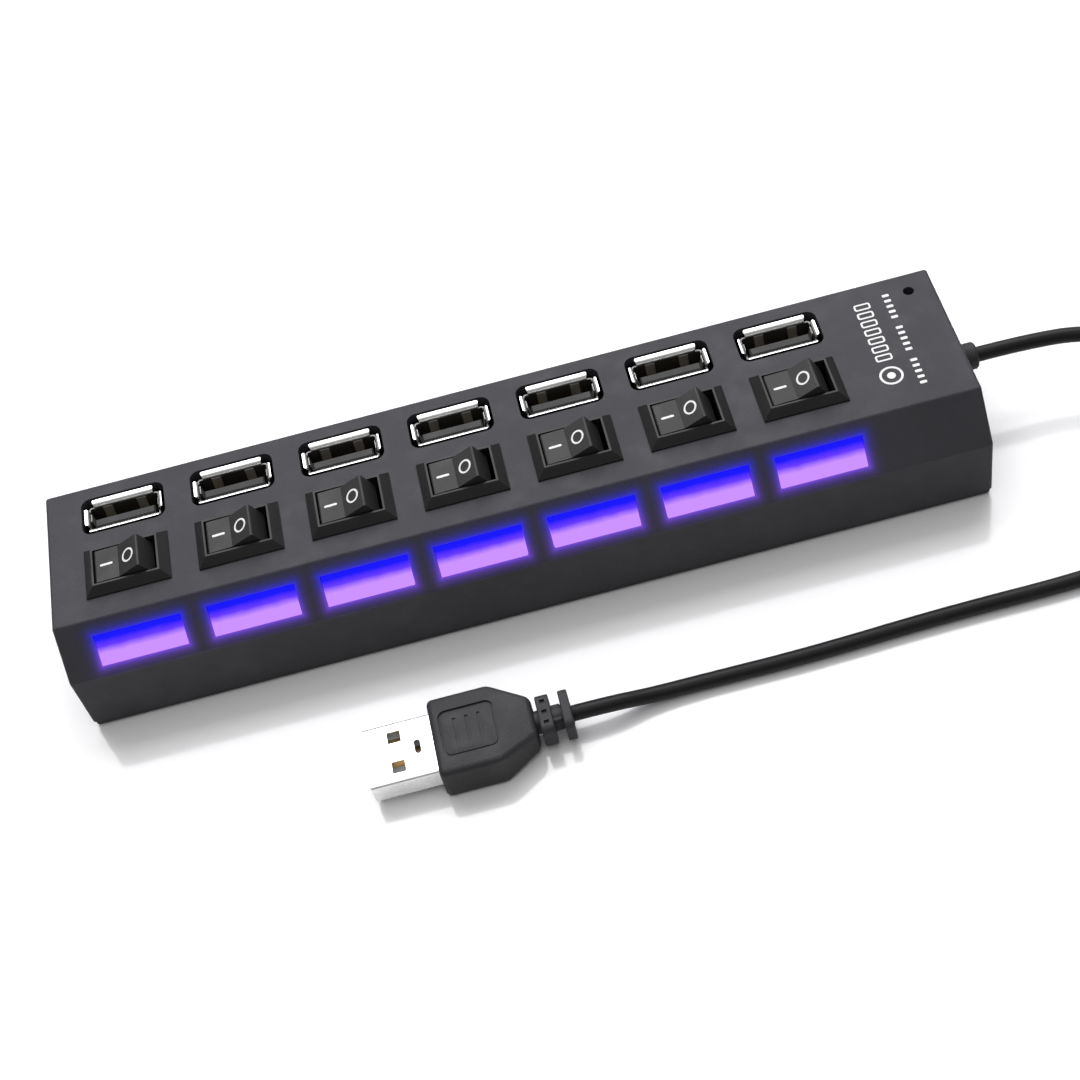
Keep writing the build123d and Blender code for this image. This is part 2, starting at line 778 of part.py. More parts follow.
# ---- power inlet ----
jack_z = board_top + jack_height / 2
jack_face_x = half_length - wall - jack_wall_gap
with BuildPart() as dc_jack_housing:
    with BuildSketch(Plane.YZ.offset(jack_face_x)):
        with Locations((jack_y, jack_z)):
            Rectangle(jack_width, jack_height)
    extrude(amount=-jack_length)
    with BuildSketch(Plane.YZ.offset(jack_face_x)):
        with Locations((jack_y, jack_z)):
            Circle(jack_barrel_diameter / 2)
    extrude(amount=half_length - jack_barrel_recess - jack_face_x)
    with BuildSketch(Plane.YZ.offset(half_length - jack_barrel_recess)):
        with Locations((jack_y, jack_z)):
            Circle(jack_bore_diameter / 2)
    extrude(amount=-jack_bore_depth, mode=Mode.SUBTRACT)
keep("dc_jack_housing", dc_jack_housing.part)

with BuildPart() as dc_jack_pin:
    with BuildSketch(Plane.YZ.offset(half_length - jack_barrel_recess - jack_bore_depth)):
        with Locations((jack_y, jack_z)):
            Circle(jack_pin_diameter / 2)
    extrude(amount=jack_bore_depth - jack_pin_recess)
    fillet(dc_jack_pin.edges().group_by(Axis.X)[-1], jack_pin_round)
keep("dc_jack_pin", dc_jack_pin.part)

# ---- fastenings and feet ----
head_bottom = base_bottom + screw_recess
with BuildPart() as case_screws:
    with BuildSketch(Plane.XY.offset(head_bottom)):
        with Locations(*post_places):
            Circle(screw_head_diameter / 2)
    extrude(amount=screw_head_height)
    fillet(case_screws.edges().group_by(Axis.Z)[0], screw_head_round)
    with BuildSketch(Plane.XY.offset(head_bottom + screw_head_height)):
        with Locations(*post_places):
            Circle(screw_diameter / 2)
    extrude(amount=board_top + screw_grip - head_bottom - screw_head_height)
    with BuildSketch(Plane.XY.offset(head_bottom)):
        with Locations(*post_places):
            Rectangle(cross_length, cross_width)
            Rectangle(cross_width, cross_length)
    extrude(amount=cross_depth, mode=Mode.SUBTRACT)
keep("case_screws", case_screws.part)

with BuildPart() as rubber_feet:
    with BuildSketch(Plane.XY):
        with Locations(*foot_places):
            Circle(foot_diameter / 2 - foot_gap)
    extrude(amount=foot_proud + foot_sunk)
    fillet(rubber_feet.edges().group_by(Axis.Z)[0], foot_round)
keep("rubber_feet", rubber_feet.part)

# ---- strain relief, moulded on the lead and held by the end wall ----
with BuildPart() as strain_relief:
    with BuildSketch(Plane.YZ.offset(half_length + relief_wall_gap)):
        with Locations((0, relief_height)):
            Circle(relief_collar_diameter / 2)
    extrude(amount=relief_collar_length - relief_wall_gap)
    fillet(strain_relief.edges().group_by(Axis.X)[-1], relief_round)
    inner_face = half_length - wall - relief_wall_gap
    with BuildSketch(Plane.YZ.offset(inner_face)):
        with Locations((0, relief_height)):
            Circle(relief_neck_diameter / 2)
    extrude(amount=wall + 2 * relief_wall_gap + margin)
    with BuildSketch(Plane.YZ.offset(inner_face)):
        with Locations((0, relief_height)):
            Circle(relief_flange_diameter / 2)
    extrude(amount=-relief_flange_length)
    with BuildSketch(Plane.YZ.offset(inner_face)):
        with Locations((0, relief_height)):
            Circle(cable_diameter / 2)
    extrude(amount=-relief_flange_length - relief_stub_length)
keep("strain_relief", strain_relief.part)

# Four wires drop from the end of the lead to the board.
wire_start_x = inner_face - relief_flange_length - relief_stub_length
with BuildPart() as lead_wires:
    for side in (-0.5, 0.5):
        for level in (-0.5, 0.5):
            wire_y = side * wire_spacing
            wire_z = relief_height + level * wire_spacing
            turn_x = wire_start_x - wire_run - (level + 0.5) * wire_step
            with BuildLine() as drop:
                FilletPolyline(
                    (wire_start_x, wire_y, wire_z),
                    (turn_x, wire_y, wire_z),
                    (turn_x, wire_y, board_top),
                    radius=wire_bend,
                )
            with BuildSketch(Plane(origin=drop.line @ 0, z_dir=drop.line % 0)):
                Circle(wire_diameter / 2)
            sweep(path=drop.line)
keep("lead_wires", lead_wires.part)


# ---- lead ----
lead_route = [
    (relief_end_x, 0.0, relief_height),
    (95.5, 0.0, relief_height),
    (107.0, -0.7, 12.3),
    (118.5, -6.6, 11.7),
    (coil_centre_x, coil_centre_y + coil_radius, coil_top_z),
]
tail_route = [
    (coil_centre_x, coil_centre_y - coil_radius, floor_z),
    (118.5, -37.8, floor_z),
    (106.0, -42.6, floor_z),
    (92.0, -44.7, floor_z),
    (66.0, -44.6, floor_z),
    (42.0, -45.6, floor_z),
    (24.0, -45.4, floor_z),
    (14.0, -45.7, floor_z + 0.5),
    (7.2, plug_axis_y, plug_axis_z),
    (plug_end_x, plug_axis_y, plug_axis_z),
]


def bend_radii(route):
    """Radius at each inner point: as large as the two runs beside it allow."""
    points = [Vector(*p) for p in route]
    radii = []
    for before, here, after in zip(points, points[1:], points[2:]):
        turn = radians((here - before).get_angle(after - here))
        shorter = min((here - before).length, (after - here).length)
        radii.append(bend_share * shorter / tan(turn / 2))
    return radii


def cable_tube(name, route):
    """Round tube along straight runs joined by tangent arcs."""
    radii = bend_radii(route)
    with BuildPart() as tube:
        with BuildLine() as path:
            FilletPolyline(*route, radius=radii)
        with BuildSketch(Plane(origin=path.line @ 0, z_dir=path.line % 0)):
            Circle(cable_diameter / 2)
        sweep(path=path.line)
    length = sum(edge.length for edge in path.edges())
    expected = pi * cable_diameter ** 2 / 4 * length
    print(name, "length", round(length, 1), "volume ratio", round(tube.part.volume / expected, 4))
    print(name, "radii", [round(r, 1) for r in radii])
    keep(name, tube.part)
    return length


lead_length = cable_tube("cable_lead", lead_route)
tail_length_seen = cable_tube("cable_tail", tail_route)
coil_length = 2 * pi * coil_radius * coil_turns
print("whole lead", round(lead_length + coil_length + tail_length_seen, 1))

# A flat band holds the turns together on the far side, where they are a quarter turn on.
tie_bottom = floor_z + coil_pitch / 4 - cable_diameter / 2
tie_top = coil_top_z - coil_pitch / 4 + cable_diameter / 2
with BuildPart() as cable_coil:
    with BuildSketch(Plane.XY):
        with Locations((coil_centre_x, coil_centre_y)):
            Circle(coil_radius + cable_diameter / 2)
            Circle(coil_radius - cable_diameter / 2, mode=Mode.SUBTRACT)
    extrude(amount=coil_top_z + cable_diameter / 2)
    for start, height in ((0, tie_bottom), (tie_top, coil_pitch)):
        with BuildSketch(Plane.XY.offset(start)):
            with Locations((coil_centre_x + coil_radius, coil_centre_y)):
                Rectangle(2 * cable_diameter, tie_width + 2 * margin)
        extrude(amount=height, mode=Mode.SUBTRACT)
keep("cable_coil", cable_coil.part)

with BuildPart() as cable_tie:
    with BuildSketch(Plane.XZ.offset(-coil_centre_y)):
        with Locations((coil_centre_x + coil_radius, (tie_top + tie_bottom) / 2)):
            inside_width = cable_diameter + 2 * tie_gap
            inside_height = tie_top - tie_bottom + 2 * tie_fit
            outside = (inside_width + 2 * tie_sheet, inside_height + 2 * tie_sheet)
            RectangleRounded(*outside, tie_outer_corner)
            RectangleRounded(inside_width, inside_height, tie_inner_corner, mode=Mode.SUBTRACT)
    extrude(amount=tie_width / 2, both=True)
keep("cable_tie", cable_tie.part)

# ---- plug ----
plug_middle = Plane.XY.offset(plug_axis_z)
with BuildPart() as plug_body:
    with BuildSketch(Plane.XY) as grip:
        with BuildLine():
            Polyline(
                (plug_grip_x, plug_axis_y - plug_width / 2),
                (plug_grip_x + plug_straight, plug_axis_y - plug_width / 2),
                (plug_neck_x, plug_axis_y - plug_neck_width / 2),
                (plug_neck_x, plug_axis_y + plug_neck_width / 2),
                (plug_grip_x + plug_straight, plug_axis_y + plug_width / 2),
                (plug_grip_x, plug_axis_y + plug_width / 2),
                close=True,
            )
        make_face()
        fillet(grip.vertices().group_by(Axis.X)[1], plug_shoulder_round)
        fillet(grip.vertices().group_by(Axis.X)[0], plug_front_round)
    extrude(amount=plug_thickness)
    fillet(plug_body.edges().group_by(Axis.Z)[-1], plug_round)
    fillet(plug_body.edges().group_by(Axis.Z)[0], plug_round)
    with BuildSketch(Plane.YZ.offset(plug_neck_x - plug_relief_root)):
        with Locations((plug_axis_y, plug_axis_z)):
            Circle(plug_relief_core / 2)
    extrude(amount=plug_relief_length + plug_relief_root)
    for start, thickness in plug_ribs:
        with BuildSketch(Plane.YZ.offset(plug_neck_x + start)):
            with Locations((plug_axis_y, plug_axis_z)):
                RectangleRounded(plug_neck_width, plug_neck_thickness, plug_rib_corner)
        extrude(amount=thickness)
    with BuildSketch(Plane.YZ.offset(plug_grip_x)):
        with Locations((plug_axis_y, plug_axis_z)):
            RectangleRounded(
                plug_shell_width + 2 * plug_fit,
                plug_shell_thickness + 2 * plug_fit,
                plug_shell_corner + plug_fit,
            )
    extrude(amount=plug_shell_sunk + plug_fit, mode=Mode.SUBTRACT)
    panel_x = plug_grip_x + panel_from_front + panel_length / 2
    with BuildSketch(Plane.XY.offset(plug_thickness - panel_depth)):
        with Locations((panel_x, plug_axis_y)):
            RectangleRounded(panel_length, panel_width, panel_corner)
            inner = (panel_length - 2 * panel_groove, panel_width - 2 * panel_groove)
            RectangleRounded(*inner, panel_corner - panel_groove, mode=Mode.SUBTRACT)
        with Locations((panel_x - arrow_length / 4, plug_axis_y)):
            Triangle(a=arrow_width, b=arrow_width, c=arrow_width, rotation=90)
        with Locations((panel_x + arrow_length / 4, plug_axis_y)):
            Rectangle(arrow_length / 2, arrow_stem)
    extrude(amount=panel_depth, mode=Mode.SUBTRACT)
keep("plug_body", plug_body.part)

with BuildPart() as plug_shell:
    with BuildSketch(Plane.YZ.offset(plug_tip_x)):
        with Locations((plug_axis_y, plug_axis_z)):
            RectangleRounded(plug_shell_width, plug_shell_thickness, plug_shell_corner)
            RectangleRounded(
                plug_shell_width - 2 * plug_shell_sheet,
                plug_shell_thickness - 2 * plug_shell_sheet,
                plug_shell_corner - plug_shell_sheet,
                mode=Mode.SUBTRACT,
            )
    extrude(amount=plug_shell_reach + plug_shell_sunk)
    with BuildSketch(plug_middle):
        for side in (-1, 1):
            with Locations((plug_tip_x + plug_hole_from_tip, plug_axis_y + side * plug_hole_spread)):
                Rectangle(plug_hole_side, plug_hole_side)
    extrude(amount=plug_thickness, both=True, mode=Mode.SUBTRACT)
    with BuildSketch(plug_middle):
        with Locations((plug_tip_x + plug_slot_from_tip, plug_axis_y)):
            SlotOverall(plug_slot_length, plug_slot_width, rotation=90)
    extrude(amount=plug_thickness, mode=Mode.SUBTRACT)
keep("plug_shell", plug_shell.part)

block_width = plug_shell_width - 2 * (plug_shell_sheet + plug_fit)
block_height = plug_shell_thickness - 2 * (plug_shell_sheet + plug_fit)
block_bottom = plug_axis_z - block_height / 2
block_start_x = plug_tip_x + plug_block_back
block_end_x = plug_grip_x + plug_shell_sunk - plug_block_end_gap
with BuildPart() as plug_insulator:
    with BuildSketch(Plane.YZ.offset(block_start_x)):
        with Locations((plug_axis_y, plug_axis_z)):
            RectangleRounded(block_width, block_height, plug_shell_corner - plug_shell_sheet)
    extrude(amount=block_end_x - block_start_x)
    with BuildSketch(Plane.XY.offset(block_bottom + plug_block_thickness)):
        with Locations(((block_start_x + plug_grip_x) / 2, plug_axis_y)):
            Rectangle(plug_grip_x - block_start_x, plug_width)
    extrude(amount=plug_thickness, mode=Mode.SUBTRACT)
keep("plug_insulator", plug_insulator.part)

with BuildPart() as plug_contacts:
    with BuildSketch(Plane.XY.offset(block_bottom + plug_block_thickness)):
        for place in contact_places:
            outer = abs(place) == contact_places[-1]
            start_x = block_start_x + (plug_outer_contact_start if outer else plug_inner_contact_start)
            with Locations(((start_x + plug_grip_x) / 2, plug_axis_y + place)):
                Rectangle(plug_grip_x - start_x, contact_width)
    extrude(amount=plug_contact_sheet)
keep("plug_contacts", plug_contacts.part)

print(len(pieces), "pieces")
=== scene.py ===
"""A desk hub with seven upright sockets, seven rocker switches, lit windows and a captive lead."""

import json
import logging
import math
from dataclasses import dataclass, field
from enum import Enum
from typing import Any, Callable, Iterable, Optional, Sequence, Union

import bmesh
import bpy
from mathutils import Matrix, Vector

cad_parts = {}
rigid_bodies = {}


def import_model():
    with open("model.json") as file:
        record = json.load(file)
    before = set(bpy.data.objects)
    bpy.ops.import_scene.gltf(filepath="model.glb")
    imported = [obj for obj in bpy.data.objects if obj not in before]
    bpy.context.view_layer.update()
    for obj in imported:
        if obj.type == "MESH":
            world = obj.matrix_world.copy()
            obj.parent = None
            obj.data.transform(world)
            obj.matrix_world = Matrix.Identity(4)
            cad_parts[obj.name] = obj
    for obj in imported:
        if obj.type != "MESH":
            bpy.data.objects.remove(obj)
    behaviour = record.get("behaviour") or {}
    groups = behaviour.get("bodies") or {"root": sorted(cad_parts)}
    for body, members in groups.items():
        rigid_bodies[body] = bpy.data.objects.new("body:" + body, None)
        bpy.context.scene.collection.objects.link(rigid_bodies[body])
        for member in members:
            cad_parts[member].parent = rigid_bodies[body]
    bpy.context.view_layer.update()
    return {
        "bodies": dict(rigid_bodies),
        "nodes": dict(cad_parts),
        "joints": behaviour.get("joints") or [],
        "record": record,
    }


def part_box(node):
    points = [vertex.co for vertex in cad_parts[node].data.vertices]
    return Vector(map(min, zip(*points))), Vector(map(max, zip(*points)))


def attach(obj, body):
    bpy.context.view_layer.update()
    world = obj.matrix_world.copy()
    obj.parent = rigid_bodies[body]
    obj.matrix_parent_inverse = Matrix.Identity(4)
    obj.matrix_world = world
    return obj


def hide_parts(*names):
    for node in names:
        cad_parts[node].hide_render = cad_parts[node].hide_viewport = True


log = logging.getLogger("hub")

MM = 0.001
Colour = tuple[float, float, float]
Point = tuple[float, float, float]


class Wall(Enum):
    """The walls of a socket that carry a leaf spring."""

    BACK = "back"
    LEFT = "left"
    RIGHT = "right"


class Axis(Enum):
    """The axis that a finish's own grain follows."""

    X = 0
    Y = 1
    Z = 2


# ---------------------------------------------------------------- shader maths


class Value:
    """A shader socket that arithmetic can be written with."""

    def __init__(self, shader: "Shader", socket: bpy.types.NodeSocket) -> None:
        """Wrap one output socket of a shader's node.

        Args:
            shader: the material being written.
            socket: the output that holds the value.
        """
        self.shader = shader
        self.socket = socket

    def maths(self, operation: str, *others: "Number") -> "Value":
        """Return this value put through one Math node."""
        return self.shader.maths(operation, self, *others)

    def __add__(self, other: "Number") -> "Value":
        """Sum."""
        return self.maths("ADD", other)

    def __radd__(self, other: float) -> "Value":
        """Sum, number first."""
        return self.shader.maths("ADD", other, self)

    def __sub__(self, other: "Number") -> "Value":
        """Difference."""
        return self.maths("SUBTRACT", other)

    def __rsub__(self, other: float) -> "Value":
        """Difference, number first."""
        return self.shader.maths("SUBTRACT", other, self)

    def __mul__(self, other: "Number") -> "Value":
        """Product."""
        return self.maths("MULTIPLY", other)

    def __rmul__(self, other: float) -> "Value":
        """Product, number first."""
        return self.shader.maths("MULTIPLY", other, self)

    def __truediv__(self, other: "Number") -> "Value":
        """Quotient."""
        return self.maths("DIVIDE", other)

    def __abs__(self) -> "Value":
        """Size without sign."""
        return self.maths("ABSOLUTE")

    def most(self, other: "Number") -> "Value":
        """The larger of two values."""
        return self.maths("MAXIMUM", other)

    def least(self, other: "Number") -> "Value":
        """The smaller of two values."""
        return self.maths("MINIMUM", other)

    def under(self, limit: "Number") -> "Value":
        """1 where the value is under a limit, else 0."""
        return self.maths("LESS_THAN", limit)

    def over(self, limit: "Number") -> "Value":
        """1 where the value is over a limit, else 0."""
        return self.maths("GREATER_THAN", limit)

    def fade(self, start: float, end: float) -> "Value":
        """0 at start and 1 at end, held beyond both."""
        return self.shader.node(
            "ShaderNodeMapRange",
            {"interpolation_type": "SMOOTHSTEP"},
            {"Value": self, "From Min": start, "From Max": end},
        )


Number = Union[Value, float]


class Shader:
    """One material and the nodes that are added to it."""

    def __init__(self, name: str) -> None:
        """Start a material with a plain shader and an output.

        Args:
            name: the material's name.
        """
        self.material = bpy.data.materials.new(name)
        self.material.use_nodes = True
        self.tree = self.material.node_tree
        self.tree.nodes.clear()
        self.surface = self.tree.nodes.new("ShaderNodeBsdfPrincipled")
        output = self.tree.nodes.new("ShaderNodeOutputMaterial")
        self.tree.links.new(self.surface.outputs["BSDF"], output.inputs["Surface"])
        self.place = self.node("ShaderNodeTexCoord", {}, {}, "Object")

    def put(self, socket: bpy.types.NodeSocket, value: Any) -> None:
        """Link a value to a socket, or set the socket's own value."""
        if isinstance(value, Value):
            self.tree.links.new(value.socket, socket)
        elif isinstance(value, tuple) and socket.type == "RGBA":
            socket.default_value = (*value, 1.0)
        else:
            socket.default_value = value

    def node(
        self, kind: str, settings: dict[str, Any], inputs: dict[Any, Any], output: Any = 0
    ) -> Value:
        """Add a node.

        Args:
            kind: the node's type.
            settings: its properties, and "stops" for a ramp.
            inputs: values or links for its sockets, by name or number.
            output: which output to return.

        Returns:
            The chosen output.
        """
        made = self.tree.nodes.new(kind)
        for name, value in settings.items():
            if name == "stops":
                self.set_stops(made.color_ramp, value)
            else:
                setattr(made, name, value)
        for name, value in inputs.items():
            self.put(made.inputs[name], value)
        return Value(self, made.outputs[output])

    @staticmethod
    def set_stops(ramp: bpy.types.ColorRamp, stops: Sequence[tuple[float, Colour]]) -> None:
        """Give a ramp its stops, each a place and a colour."""
        while len(ramp.elements) < len(stops):
            ramp.elements.new(0.5)
        for element, (place, colour) in zip(ramp.elements, stops):
            element.position = place
            element.color = (*colour, 1.0)

    def maths(self, operation: str, *values: Number) -> Value:
        """Add one Math node."""
        return self.node("ShaderNodeMath", {"operation": operation}, dict(enumerate(values)))

    def mix(self, share: Number, first: Any, second: Any) -> Value:
        """Blend two colours."""
        return self.node(
            "ShaderNodeMix", {"data_type": "RGBA"}, {0: share, 6: first, 7: second}, 2
        )

    def axis(self, axis: Axis) -> Value:
        """One coordinate of the surface, in metres."""
        return self.node("ShaderNodeSeparateXYZ", {}, {0: self.place}, axis.value)

    def noise(self, size: float, detail: float = 3.0, stretch: Point = (1, 1, 1)) -> Value:
        """Cloudy variation with features of a given size.

        Args:
            size: the width of a feature, in metres.
            detail: how many finer layers it has.
            stretch: how far features are drawn out along each axis.

        Returns:
            A value about 0.5.
        """
        scale = tuple(1 / (size * s) for s in stretch)
        at = self.node("ShaderNodeMapping", {}, {"Vector": self.place, "Scale": scale})
        return self.node("ShaderNodeTexNoise", {}, {"Vector": at, "Scale": 1.0, "Detail": detail})

    def cells(self, size: float) -> Value:
        """Distance from the nearest of scattered points, in cells of a given size."""
        return self.node("ShaderNodeTexVoronoi", {}, {"Vector": self.place, "Scale": 1 / size})

    def bump(self, height: Value, depth: float) -> Value:
        """A normal bent by a height of a given depth in metres."""
        return self.node(
            "ShaderNodeBump", {}, {"Height": height, "Distance": depth, "Strength": 1.0}
        )

    def finish(self, **inputs: Any) -> bpy.types.Material:
        """Set the plain shader's sockets and hand back the material.

        Args:
            inputs: socket names with spaces written as underscores.

        Returns:
            The finished material.
        """
        for name, value in inputs.items():
            self.put(self.surface.inputs[name.replace("_", " ")], value)
        return self.material


# ---------------------------------------------------------------- finishes


@dataclass(frozen=True)
class Moulding:
    """Spark-textured moulded plastic, rubber or resin."""

    name: str
    colour: Colour
    grain: float = 0.28 * MM
    depth: float = 0.03 * MM
    roughness: float = 0.5
    mottle: float = 0.14
    specular: float = 0.5

    def material(self) -> bpy.types.Material:
        """Build the material: faint clouds, fine grain, and rubbed patches that shine more."""
        shader = Shader(self.name)
        self.dress(shader)
        return shader.material

    def dress(self, shader: Shader, **more: Any) -> None:
        """Write the finish into a shader.

        Args:
            shader: the material to write.
            more: further sockets to set.
        """
        clouds = shader.noise(14 * MM, 4.0)
        grain = shader.noise(self.grain, 2.0)
        pits = shader.cells(self.grain * 1.7)
        dark = tuple(c * (1 - self.mottle) for c in self.colour)
        light = tuple(c * (1 + self.mottle) for c in self.colour)
        share = clouds.fade(0.3, 0.7) * 0.6 + grain * 0.4
        rubbed = shader.noise(5 * MM, 5.0).fade(0.42, 0.75)
        shader.finish(
            Base_Color=shader.mix(share, dark, light),
            Roughness=self.roughness + grain * 0.12 - rubbed * 0.1,
            Specular_IOR_Level=self.specular,
            Normal=shader.bump(grain * 0.7 + pits * 0.5, self.depth),
            **more,
        )


@dataclass(frozen=True)
class WindowBand:
    """Where the lit windows lie on the slanted front band, in metres."""

    edge_y: float
    edge_z: float
    fall: Colour
    first_x: float
    pitch: float
    count: int
    drop: float
    half_width: float
    half_height: float

    def down(self, shader: Shader) -> Value:
        """Distance down the band from its upper edge."""
        out = (shader.axis(Axis.Y) - self.edge_y) * self.fall[1]
        return out + (shader.axis(Axis.Z) - self.edge_z) * self.fall[2]

    def off(self, shader: Shader) -> Value:
        """Distance out of the band's plane."""
        out = (shader.axis(Axis.Y) - self.edge_y) * self.fall[2]
        return abs(out - (shader.axis(Axis.Z) - self.edge_z) * self.fall[1])

    def beyond(self, shader: Shader) -> Value:
        """Distance from the nearest window's outline, nought inside it."""
        along = shader.axis(Axis.X) - self.first_x
        nearest = (along / self.pitch).maths("ROUND").most(0.0).least(self.count - 1.0)
        across = (abs(along - nearest * self.pitch) - self.half_width).most(0.0)
        below = (abs(self.down(shader) - self.drop) - self.half_height).most(0.0)
        return (across * across + below * below).maths("SQRT")


@dataclass(frozen=True)
class CaseMoulding(Moulding):
    """The case's moulding, with the windows' light spilling on the band round them."""

    band: Optional[WindowBand] = None
    spill_above: Colour = (0.004, 0.0, 0.72)
    spill_below: Colour = (0.13, 0.035, 0.62)
    reach: float = 0.95 * MM
    skin: float = 0.35 * MM

    def material(self) -> bpy.types.Material:
        """Build the moulding and add the spill as a faint glow."""
        shader = Shader(self.name)
        beyond = self.band.beyond(shader)
        near = (beyond * (-1 / self.reach)).maths("EXPONENT")
        on_band = self.band.off(shader).under(self.skin)
        upper = self.band.drop - self.band.half_height
        low = self.band.down(shader).fade(upper, self.band.drop * 1.4)
        spill = shader.mix(low, self.spill_above, self.spill_below)
        glow = near * near.maths("SQRT") * on_band
        self.dress(
            shader,
            Emission_Color=shader.mix(glow, (0.0, 0.0, 0.0), spill),
            Emission_Strength=1.0,
        )
        return shader.material


@dataclass(frozen=True)
class LitWindow:
    """Clear window lit from behind: blue at its upper edge, violet below."""

    name: str
    band: WindowBand
    upper: Colour = (0.0, 0.0, 0.96)
    middle: Colour = (0.13, 0.035, 0.97)
    lower: Colour = (0.60, 0.28, 0.99)

    def material(self) -> bpy.types.Material:
        """Build the gradient down the band, with dimmer ends and a soft edge."""
        shader = Shader(self.name)
        top = self.band.drop - self.band.half_height
        share = (self.band.down(shader) - top) / (2 * self.band.half_height)
        cloud = shader.noise(2.2 * MM, 2.0) - 0.5
        stops = [(0.16, self.upper), (0.38, self.middle), (0.6, self.lower), (1.0, self.lower)]
        glow = shader.node("ShaderNodeValToRGB", {"stops": stops}, {0: share + cloud * 0.08})
        return shader.finish(
            Base_Color=(0.01, 0.008, 0.04),
            Specular_IOR_Level=0.25,
            Emission_Color=glow,
            Emission_Strength=1.0,
            Roughness=0.3 + cloud * 0.1,
            Normal=shader.bump(shader.noise(0.5 * MM), 0.01 * MM),
        )


@dataclass(frozen=True)
class Plate:
    """Plated or bare metal with drawn lines and faint handling marks."""

    name: str
    colour: Colour
    roughness: float = 0.16
    along: Axis = Axis.X
    brushing: float = 0.006 * MM

    def material(self) -> bpy.types.Material:
        """Build the metal: fine lines along one axis, cloudy dulling over them."""
        shader = Shader(self.name)
        stretch = tuple(24.0 if axis is self.along else 1.0 for axis in Axis)
        lines = shader.noise(0.12 * MM, 3.0, stretch)
        dull = shader.noise(3.5 * MM, 5.0).fade(0.35, 0.75)
        tarnish = tuple(c * 0.86 for c in self.colour)
        return shader.finish(
            Base_Color=shader.mix(dull * 0.5 + lines * 0.2, self.colour, tarnish),
            Metallic=1.0,
            Roughness=self.roughness + dull * 0.1 + lines * 0.06,
            Normal=shader.bump(lines, self.brushing),
        )


@dataclass(frozen=True)
class SocketPlate(Plate):
    """Plating of a socket: bright on the rolled lips, rougher and darkened by painted shade down inside
    the mouth.
    """

    mouth_z: float = 22.0 * MM
    bright: float = 0.35 * MM
    dull: float = 1.2 * MM
    # Colour of the painted shade deep inside the mouth.
    inside: Colour = (0.13, 0.125, 0.12)

    def material(self) -> bpy.types.Material:
        """Build the plating, rougher with depth below the mouth and blended there towards a painted
        shade colour.
        """
        shader = Shader(self.name)
        below = self.mouth_z - shader.axis(Axis.Z)
        # Share of painted shade and of added roughness, nought at the lip and one deep in the mouth.
        depth = below.fade(self.bright, self.dull)
        lines = shader.noise(0.12 * MM, 3.0, (24.0, 1.0, 1.0))
        rubbed = shader.noise(1.1 * MM, 4.0).fade(0.4, 0.7)
        lip = shader.mix(rubbed * 0.3 + lines * 0.2, self.colour, (0.78, 0.78, 0.77))
        return shader.finish(
            # Painted shade: the plating's colour is blended towards the dark inside colour with depth.
            Base_Color=shader.mix(depth, lip, self.inside),
            Metallic=1.0,
            Roughness=self.roughness + depth * 0.25 + lines * 0.08,
            Normal=shader.bump(lines, self.brushing),
        )


@dataclass(frozen=True)
class Laminate:
    """Circuit board with solder mask over copper traces."""

    name: str
    mask: Colour = (0.008, 0.075, 0.03)
    copper: Colour = (0.02, 0.15, 0.055)
    trace_step: float = 1.27 * MM

    def material(self) -> bpy.types.Material:
        """Build the mask, lighter over raised traces and pads."""
        shader = Shader(self.name)
        across = shader.axis(Axis.X) / self.trace_step
        along = shader.axis(Axis.Y) / self.trace_step
        wander = shader.noise(9 * MM, 1.0) * 4.0
        lines = (across + wander).maths("PINGPONG", 0.5).over(0.33)
        rows = (along + wander).maths("PINGPONG", 0.5).over(0.36)
        zone = shader.noise(17 * MM, 0.0).over(0.5)
        traces = lines * zone + rows * (1 - zone)
        return shader.finish(
            Base_Color=shader.mix(traces, self.mask, self.copper),
            Roughness=0.28 + shader.noise(2 * MM) * 0.12,
            Normal=shader.bump(traces, 0.03 * MM),
        )


@dataclass(frozen=True)
class Jacket:
    """Satin cable jacket with the faint lay of the wires under it."""

    name: str
    colour: Colour = (0.007, 0.0068, 0.0072)

    def material(self) -> bpy.types.Material:
        """Build the jacket: long ripples, dust in the grain, and scuffed shine."""
        shader = Shader(self.name)
        ripple = shader.noise(1.6 * MM, 2.0)
        grain = shader.noise(0.16 * MM, 2.0)
        dust = shader.noise(4 * MM, 5.0).fade(0.5, 0.8)
        pale = tuple(c * 2.2 for c in self.colour)
        return shader.finish(
            Base_Color=shader.mix(dust * 0.35 + grain * 0.1, self.colour, pale),
            Roughness=0.36 + dust * 0.18 + grain * 0.06,
            Specular_IOR_Level=0.22,
            Normal=shader.bump(ripple * 0.7 + grain * 0.5, 0.035 * MM),
        )


@dataclass(frozen=True)
class Ink:
    """Printed marks, a little uneven where the pad lifted."""

    name: str
    colour: Colour = (0.78, 0.78, 0.78)

    def material(self) -> bpy.types.Material:
        """Build the ink with thin spots that show the moulding's grain."""
        shader = Shader(self.name)
        thin = shader.noise(0.35 * MM, 3.0).fade(0.55, 0.8)
        worn = tuple(c * 0.62 for c in self.colour)
        return shader.finish(
            Base_Color=shader.mix(thin, self.colour, worn),
            Roughness=0.5 + thin * 0.15,
            Normal=shader.bump(shader.noise(0.25 * MM), 0.015 * MM),
        )


